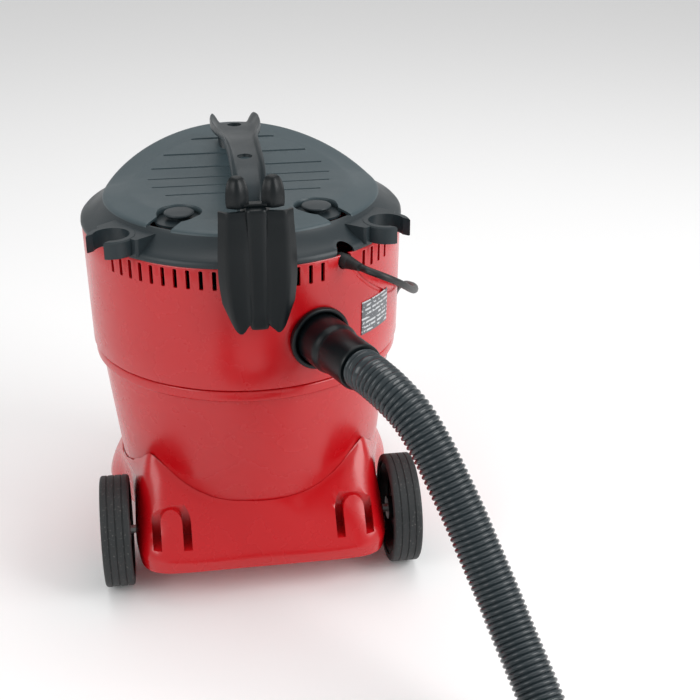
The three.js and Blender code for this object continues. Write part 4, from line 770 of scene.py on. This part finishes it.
# ---- Suction hose ----
# A 46 mm hose of blow-moulded polyethylene with a rib every 6 mm. It leaves the connector straight,
# sags to the floor and lies in a flat coil of two turns, with an end cuff on its free end.
hose_points = [outwards(21.2, 0.2773, 0.326), outwards(21.2, 0.290, 0.326), outwards(21.2, 0.3033, 0.326)]
hose_points += [Vector(p) / 1000 for p in (
    (123.6, -306.1, 319), (140.6, -327, 303), (156.7, -346.8, 277), (170.8, -366.2, 247), (184.8, -386.7, 215),
    (196.8, -406.8, 184), (209.3, -430, 152), (220.5, -455.1, 121), (229.5, -479, 97), (236.5, -499, 78),
    (244, -525, 56), (251, -557, 38.5), (254.8, -591, 28), (255.6, -622, 24.2), (255.6, -660, 23.6),
    (255.6, -700, 23.6), (255.6, -740, 23.6))]
coil_middle = Vector((-0.0064, -0.780, 0.0236))
for step in range(0, 50):
    turn = step / 24
    reach = 0.262 - 0.047 * eased(turn, 0.62, 1.0) - 0.047 * eased(turn, 1.55, 2.0) - 0.010 * eased(turn, 2.0, 2.1)
    a = -2 * math.pi * turn
    hose_points.append(coil_middle + Vector((reach * math.cos(a), reach * math.sin(a), 0)))
hose_points += [coil_middle + Vector(p) / 1000 for p in ((126, -99, 0.6), (104, -114, 1.2), (78, -126, 2.0),
                                                         (54, -131.4, 3.0), (39.3, -134.3, 3.2))]
hose_line = through(hose_points, 2400)
hose_long = length_of(hose_line)
rib_pitch = 0.0058
rib_count = round(hose_long / rib_pitch)
ribbed = evened(hose_line, rib_count * 4)


def rib_radius(i):
    return (0.0204, 0.0224, 0.0230, 0.0224)[i % 4]


hose = swept("ribbed_hose", ribbed, rib_radius, 28)
smooth(hose, 50)
hose_polyethylene = moulded("grey blow moulded polyethylene", "#262e32", "#2d363a", 0.22, 2.5, 0.08, ior=1.51,
                            wear=0.02)
end_cuff = turned("hose_far_cuff", [(0.0190, 0.0), (0.0250, 0.0), (0.0260, 0.0012), (0.0260, 0.0400),
                                    (0.0255, 0.0450), (0.0240, 0.0490), (0.0235, 0.0500), (0.0226, 0.0890),
                                    (0.0220, 0.0900), (0.0190, 0.0900)],
                  (-0.0064 + 0.0387, -0.780 - 0.13442, 0.0268), (-0.981, -0.194, 0), 96, closed=True)
smooth(end_cuff, 38)
clothe(end_cuff, black_polypropylene, "hose", "black_plastic", "hose_end_cuff")
clothe(hose, hose_polyethylene, "hose", "hose", "suction_hose", "hose_coil", "hose_tail")
[tuple(p) for p in evened(hose_line, 700)]


# ---- Mains lead ----
# An 8 mm black rubber-sheathed lead. It leaves the head through a tapered sleeve under the lid's
# hood, hangs over the right side to the floor in front, and is coiled there with its plug beside it.
gland = turned("lead_sleeve", [(0, 0.0), (0.0078, 0.0), (0.0080, 0.0120), (0.0074, 0.0135), (0.0074, 0.0150),
                               (0.0066, 0.0165), (0.0070, 0.0178), (0.0060, 0.0205), (0.0064, 0.0218),
                               (0.0054, 0.0250), (0.0057, 0.0262), (0.0050, 0.0300), (0.0046, 0.0340), (0, 0.0342)],
               outwards(31.9, 0.178, 0.408), outwards(31.9, 1), 40)
smooth(gland, 40)
clothe(gland, moulded_rubber, "head", "black_plastic", "cable_gland")
lead_points = [outwards(31.9, 0.2153, 0.408), outwards(31.9, 0.221, 0.408), outwards(31.9, 0.227, 0.408)]
lead_points += [outwards(angle, (184 + away) / 1000, height / 1000) for angle, away, height in (
    (33.8, 54, 404), (37.1, 58, 396), (41.8, 56, 384), (47.6, 49, 370), (54.3, 40, 357), (61.6, 31, 347),
    (69.6, 23, 337), (78.6, 16.5, 326), (87.7, 13, 314), (96.5, 12, 299), (103.1, 14, 276), (107.9, 18, 240),
    (112.2, 22, 195), (118.7, 30, 142), (124.3, 43, 92), (129.2, 61, 48))]
lead_points += [Vector(p) / 1000 for p in (
    (187, 186, 17), (172, 215, 5.2), (142, 236, 4.6), (100, 245, 4.6), (54.5, 246, 4.6), (36, 246, 4.6))]
winding = Vector((0.018, 0.322, 0))
for step in range(int(15.25 * 24) + 1):
    turn = step / 24
    layer = min(3, int((turn + 0.0001) / 4))
    within = turn - 4 * layer
    inward = layer % 2 == 0
    reach = 0.0760 - 0.0080 * min(3.0, max(0.0, within - 0.5)) if inward \
        else 0.0520 + 0.0080 * min(3.0, max(0.0, within - 0.5))
    height = 0.0045 + 0.0082 * layer + (0.0082 * eased(within, 3.75, 4.0) if layer < 3 else 0.0)
    a = -math.pi / 2 - 2 * math.pi * turn
    lead_points.append(winding + Vector((reach * math.cos(a), reach * math.sin(a), height)))
lead_points += [Vector(p) / 1000 for p in ((-61.5, 330, 27.5), (-68, 341, 24.5), (-74, 350, 20.5), (-77.6, 354, 19.2))]
lead_line = through(lead_points, 2600)
lead = swept("mains_lead", lead_line, 0.0040, 12)
smooth(lead, 60)
lead_rubber = moulded("black cable rubber", "#101213", "#16191a", 0.42, 1.0, 0.15, ior=1.52, wear=0.03)
plug = turned("lead_plug", [(0, 0.0), (0.0052, 0.0), (0.0056, 0.0040), (0.0062, 0.0050), (0.0060, 0.0085),
                            (0.0068, 0.0095), (0.0066, 0.0130), (0.0076, 0.0140), (0.0080, 0.0180), (0.0120, 0.0235),
                            (0.0168, 0.0290), (0.0183, 0.0330), (0.0185, 0.0350), (0.0185, 0.0500), (0.0178, 0.0512),
                            (0.0160, 0.0519), (0, 0.0519)], (-0.078, 0.3543, 0.019), (0, 1, 0), 72)
pins = [turned("pin", [(0, 0), (0.0024, 0), (0.0024, 0.0180), (0.0018, 0.0198), (0, 0.0200)],
               (-0.078 + way * 0.0095, 0.4050, 0.019), (0, 1, 0), 24) for way in (-1, 1)]
smooth(plug, 38)
clothe(plug, moulded_rubber, "head", "rubber", "mains_plug")
contacts = joined("plug_pins", *pins)
smooth(contacts, 40)
clothe(contacts, turned_steel, "head", "steel")
tie = swept("coil_tie", [Vector((-0.0460 + 0.0225 * math.cos(a), 0.322, 0.0180 + 0.0165 * math.sin(a)))
                         for a in (2 * math.pi * k / 48 for k in range(49))], 0.0012, 8, ends=False)
finished(tie, "WELD", merge_threshold=0.0001)
smooth(tie, 60)
clothe(tie, moulded_rubber, "head", "rubber")
clothe(lead, lead_rubber, "head", "rubber", "mains_cable", "mains_coil", "mains_tail")


# ---- Suction inlet and deflector ----
# A black pipe with a flange is pressed through the front of the container; behind it an open hood
# turns the dirty air down the wall. Both are satin polypropylene.
inlet = turned("inlet_pipe", [(0.0290, 0.0), (0.0330, 0.0), (0.0330, 0.0349), (0.0400, 0.0349), (0.0410, 0.0359),
                              (0.0410, 0.0378), (0.0400, 0.0389), (0.0352, 0.0402), (0.0340, 0.0412),
                              (0.0340, 0.0560), (0.0334, 0.0566), (0.0334, 0.0580), (0.0340, 0.0586),
                              (0.0340, 0.0706), (0.0330, 0.0721), (0.0305, 0.0721), (0.0290, 0.0706)],
               (0, 0.1409, 0.214), (0, 1, 0), 96, closed=True)
heads = [turned("screw", [(0, 0), (0.0030, 0), (0.0036, 0.0008), (0.0034, 0.0016), (0.0012, 0.0019), (0.0010, 0.0010),
                          (0, 0.0010)],
                (0.0375 * math.cos(a), 0.1790, 0.214 + 0.0375 * math.sin(a)), (0, 1, 0), 20)
         for a in (math.radians(d) for d in (45, 135, 225, 315))]
inlet = joined("inlet", inlet, *heads)
smooth(inlet, 38)
clothe(inlet, black_polypropylene, "base", "black_plastic", "suction_inlet")
hood = turned("inlet_hood", [(0.0290, 0.0), (0.0320, 0.0), (0.0330, 0.0008), (0.0330, 0.0258), (0.0290, 0.0258)],
              (0, 0.1146, 0.214), (0, 1, 0), 72, closed=True)
worked(hood, "DIFFERENCE", block("open_side", (-0.050, -0.1345, 0.150), (0.0, -0.1000, 0.280)))
smooth(hood, 38)
clothe(hood, black_polypropylene, "base", "black_plastic", "inlet_deflector")


# ---- Front panel ----
# A charcoal plate that follows the head's curve, with a raised border and printed-looking moulded
# scales round the two knobs. It is let into the front of the head and screwed from behind.
panel = turned("front_panel_plate", [(0.18595, 0.2960), (0.1888, 0.2960), (0.1894, 0.2968), (0.1894, 0.3000),
                                     (0.1889, 0.3008), (0.1908, 0.3992), (0.1914, 0.4000), (0.1914, 0.4032),
                                     (0.1906, 0.4040), (0.1875, 0.4040)], steps=180, closed=True)
worked(panel, "INTERSECT", block("window", (-0.1028, -0.2400, 0.2900), (0.1028, -0.0500, 0.4100)))
cutters = [block("socket_hole", (-0.0253, -0.2400, 0.3247), (0.0253, -0.0500, 0.3753))]
scales = []
for x, reach, first, last, count in ((-0.052, 0.0262, -45, 45, 3), (0.052, 0.0222, -135, 135, 11)):
    cutters.append(turned("shaft_hole", [(0, 0), (0.0050, 0), (0.0050, 0.10), (0, 0.10)], (x, 0.130, 0.352), (0, 1, 0),
                          32))
    for k in range(count):
        a = math.radians(90 + first + (last - first) * k / (count - 1))
        lean = math.degrees(math.asin(min(1.0, abs(x + reach * math.cos(a)) / 0.1905)))
        face = 0.1905 * math.cos(math.radians(lean))
        scales.append(turned("mark", [(0, 0), (0.0011, 0), (0.0011, 0.0022), (0.0008, 0.0026), (0, 0.0026)],
                             (x + reach * math.cos(a), face - 0.0020, 0.352 + reach * math.sin(a)), (0, 1, 0), 16))
worked(panel, "DIFFERENCE", *cutters)
smooth(panel, 38)
clothe(panel, charcoal_abs, "head", "charcoal_shell", "front_panel")
marks = joined("panel_marks", *scales)
smooth(marks, 38)
clothe(marks, slate_abs, "head", "slate_lid")


# ---- Switch and regulator knobs ----
# Two red knobs on steel-stiff plastic shafts: a dished disc with a knurled edge and a grip bar
# across it. The larger one switches the motor, the smaller one sets its speed.
for label, x, radius, body in (("switch_knob", -0.052, 0.022, "switch"), ("regulator_knob", 0.052, 0.017, "regulator")):
    disc = turned(label + "_disc", [(0, 0.0), (0.0040, 0.0), (0.0040, 0.0485), (radius - 0.0008, 0.0485),
                                    (radius, 0.0493), (radius, 0.0530), (radius - 0.0008, 0.0543),
                                    (radius - 0.0028, 0.0564), (radius - 0.0050, 0.0562), (radius - 0.0065, 0.0555),
                                    (0, 0.0553)], (x, 0.142, 0.352), (0, 1, 0), 96)
    bar = block("bar", (x - 0.0035, -0.2085, 0.352 - radius + 0.003), (x + 0.0035, -0.1965, 0.352 + radius - 0.003),
                edge=0.0012)
    notches = [turned("notch", [(0, 0), (0.0009, 0), (0.0009, 0.009), (0, 0.009)],
                      (x + (radius + 0.0003) * math.cos(a), 0.1890, 0.352 + (radius + 0.0003) * math.sin(a)), (0, 1, 0),
                      10) for a in (2 * math.pi * k / 24 for k in range(24))]
    worked(disc, "DIFFERENCE", joined("notches", *notches))
    knob = joined(label + "_turned", disc, bar)
    smooth(knob, 36)
    clothe(knob, red_polypropylene, body, "red_shell", label)


# ---- Tool socket and flap ----
# An earthed mains socket for a power tool: a square black body with a round well and two contact
# holes. A charcoal flap with a finger lip hinges over it on a steel pin.
socket_body = block("tool_socket_body", (-0.0250, -0.1940, 0.3250), (0.0250, -0.1600, 0.3750), edge=0.0012)
well = turned("well", [(0, 0), (0.0195, 0), (0.0195, 0.030), (0, 0.030)], (0, 0.177, 0.350), (0, 1, 0), 72)
ways = [turned("way", [(0, 0), (0.0026, 0), (0.0026, 0.030), (0, 0.030)], (x, 0.167, 0.350), (0, 1, 0), 24)
        for x in (-0.0095, 0.0095)]
worked(socket_body, "DIFFERENCE", well, *ways)
lugs = [block("lug", (x, -0.2015, 0.3710), (x + 0.004, -0.1930, 0.3815), edge=0.0008) for x in (-0.0210, 0.0170)]
socket_body = joined("tool_socket_shape", socket_body, *lugs)
smooth(socket_body, 36)
clothe(socket_body, black_polypropylene, "head", "black_plastic", "tool_socket")
flap_pin = turned("flap_pin", [(0, 0), (0.0012, 0), (0.0015, 0.0004), (0.0015, 0.0416), (0.0012, 0.0420), (0, 0.0420)],
                  (-0.021, 0.198, 0.378), (1, 0, 0), 24)
smooth(flap_pin, 38)
clothe(flap_pin, turned_steel, "head", "steel", "socket_flap_pin")
leaf = block("leaf", (-0.0250, -0.1975, 0.3250), (0.0250, -0.1945, 0.3700), edge=0.0010)
tongue = block("tongue", (-0.0165, -0.2008, 0.3690), (0.0165, -0.1946, 0.3780), edge=0.0010)
barrel = turned("barrel", [(0, 0), (0.0030, 0), (0.0034, 0.0004), (0.0034, 0.0326), (0.0030, 0.0330), (0, 0.0330)],
                (-0.0165, 0.198, 0.378), (1, 0, 0), 32)
lip = block("lip", (-0.0100, -0.1995, 0.3258), (0.0100, -0.1970, 0.3290), edge=0.0008)
worked(leaf, "UNION", tongue, barrel, lip)
eye = turned("eye", [(0, 0), (0.0020, 0), (0.0020, 0.060), (0, 0.060)], (-0.030, 0.198, 0.378), (1, 0, 0), 24)
worked(leaf, "DIFFERENCE", eye)
smooth(leaf, 36)
clothe(leaf, charcoal_abs, "flap", "charcoal_shell", "socket_flap")


# ---- Latches ----
# Two black over-centre levers hold the head down on the container. Each turns on a steel pin between
# two lugs of the head and hooks its claw under the rim; ribs on its face give the thumb a grip.
for label, side in (("left", -1), ("right", 1)):
    angle = side * 118
    lever = block("lever", (-0.0210, 0.1890, 0.2478), (0.0210, 0.1940, 0.2960), angle, edge=0.0012)
    knee = block("knee", (-0.0210, 0.1900, 0.2900), (0.0210, 0.1988, 0.3040), angle, edge=0.0015)
    claw = block("claw", (-0.0170, 0.1830, 0.2478), (0.0170, 0.1902, 0.2555), angle, edge=0.0008)
    axis = outwards(angle, 1)
    along = Vector((-axis.y, axis.x, 0))
    middle = outwards(angle, 0.196, 0.306)
    roll = turned("roll", [(0, 0), (0.0046, 0), (0.0050, 0.0004), (0.0050, 0.0416), (0.0046, 0.0420), (0, 0.0420)],
                  middle - along * 0.0210, along, 32)
    grips = [block("grip", (-0.0150, 0.1935, z), (0.0150, 0.1952, z + 0.0018), angle, edge=0.0006)
             for z in (0.2520, 0.2565, 0.2610, 0.2655)]
    worked(lever, "UNION", knee, claw, roll, *grips)
    worked(lever, "DIFFERENCE", turned("eye", [(0, 0), (0.0030, 0), (0.0030, 0.060), (0, 0.060)],
                                       middle - along * 0.0300, along, 24))
    smooth(lever, 36)
    clothe(lever, black_polypropylene, "latch_" + label, "black_plastic", "latch_" + label)
    pin = turned("latch_pin", [(0, 0), (0.0021, 0), (0.0025, 0.0004), (0.0025, 0.0506), (0.0021, 0.0510), (0, 0.0510)],
                 middle - along * 0.0255, along, 28)
    smooth(pin, 38)
    clothe(pin, turned_steel, "head", "steel", "latch_pin_" + label)


# ---- Pieces inside the head ----
# The motor, its deck, the filter on its cage, the float and the switchgear are seen only with the head
# off or through the grille. They keep their plain shapes; each has the finish of its own material.
filter_paper = moulded("pleated filter paper", "#e6dfcd", "#d6ccb6", 0.86, 3.0, 0.5, wear=0.10)
white_polystyrene = moulded("white float polystyrene", "#e2e3e4", "#d5d6d6", 0.42, 2.0, 0.1, wear=0.04)
wound_copper = moulded("enamelled copper winding", "#a9642f", "#8f4d20", 0.34, 0.8, 0.6, wear=0.02)
wound_copper.node_tree.nodes["Principled BSDF"].inputs["Metallic"].default_value = 0.9
circuit_laminate = moulded("green circuit laminate", "#255f38", "#1c5230", 0.35, 1.2, 0.3, coat=0.3, wear=0.02)
for name, material in (("motor_deck", black_polypropylene), ("motor_seal", moulded_rubber),
                       ("motor_can", turned_steel), ("motor_armature", wound_copper),
                       ("filter_cage", black_polypropylene), ("filter_cartridge", filter_paper),
                       ("float_valve", white_polystyrene), ("control_board", circuit_laminate),
                       ("switch_module", black_polypropylene), ("regulator_module", black_polypropylene)):
    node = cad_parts[name]
    node.data.materials.clear()
    node.data.materials.append(material)


# ---- END OF SECTIONS (camera below) ----
# ---- Floor, light and camera ----
# A pale sweep, three large soft lamps and a lens that sees the vacuum from behind and above.
deselect()
bpy.ops.mesh.primitive_plane_add(size=12, location=(0, 0, 0))
floor = bpy.context.object
floor.name = "studio_floor"
bpy.ops.object.mode_set(mode="EDIT")
bpy.ops.mesh.subdivide(number_cuts=3)
bpy.ops.object.mode_set(mode="OBJECT")
paper, paper_tree, paper_shader, paper_place = surface("white studio paper")
paper_shader.inputs["Base Color"].default_value = linear("#ffffff")
paper_shader.inputs["Roughness"].default_value = 0.9
floor.data.materials.append(paper)

sky = bpy.data.worlds.new("studio air")
bpy.context.scene.world = sky
sky.use_nodes = True
sky.node_tree.nodes["Background"].inputs["Color"].default_value = linear("#ffffff")
sky.node_tree.nodes["Background"].inputs["Strength"].default_value = 0.57


def lamp(name, place, target, size, power):
    deselect()
    bpy.ops.object.light_add(type="AREA", location=place)
    made = bpy.context.object
    made.name = name
    made.data.shape = "RECTANGLE"
    made.data.size = size[0]
    made.data.size_y = size[1]
    made.data.energy = power
    made.rotation_euler = (Vector(target) - Vector(place)).to_track_quat("-Z", "Y").to_euler()
    return made


lamp("right window", (2.0, -1.3, 1.5), (0.05, 0.0, 0.25), (1.5, 1.8), 40)
lamp("left window", (-2.2, -1.6, 1.6), (0.0, 0.0, 0.25), (1.6, 1.6), 22)
lamp("overhead", (0.2, 0.6, 2.6), (0.0, 0.0, 0.3), (2.2, 2.2), 19)

camera_data = bpy.data.cameras.new("camera")
camera = bpy.data.objects.new("camera", camera_data)
bpy.context.scene.collection.objects.link(camera)
camera_data.lens = 66.86
camera_data.sensor_width = 36.0
camera.location = (-0.1026, -1.4646, 0.9205)
camera.rotation_euler = Vector((0.1416, 0.8943, -0.4245)).to_track_quat("-Z", "Y").to_euler()
bpy.context.scene.camera = camera
bpy.context.scene.view_settings.view_transform = "Standard"
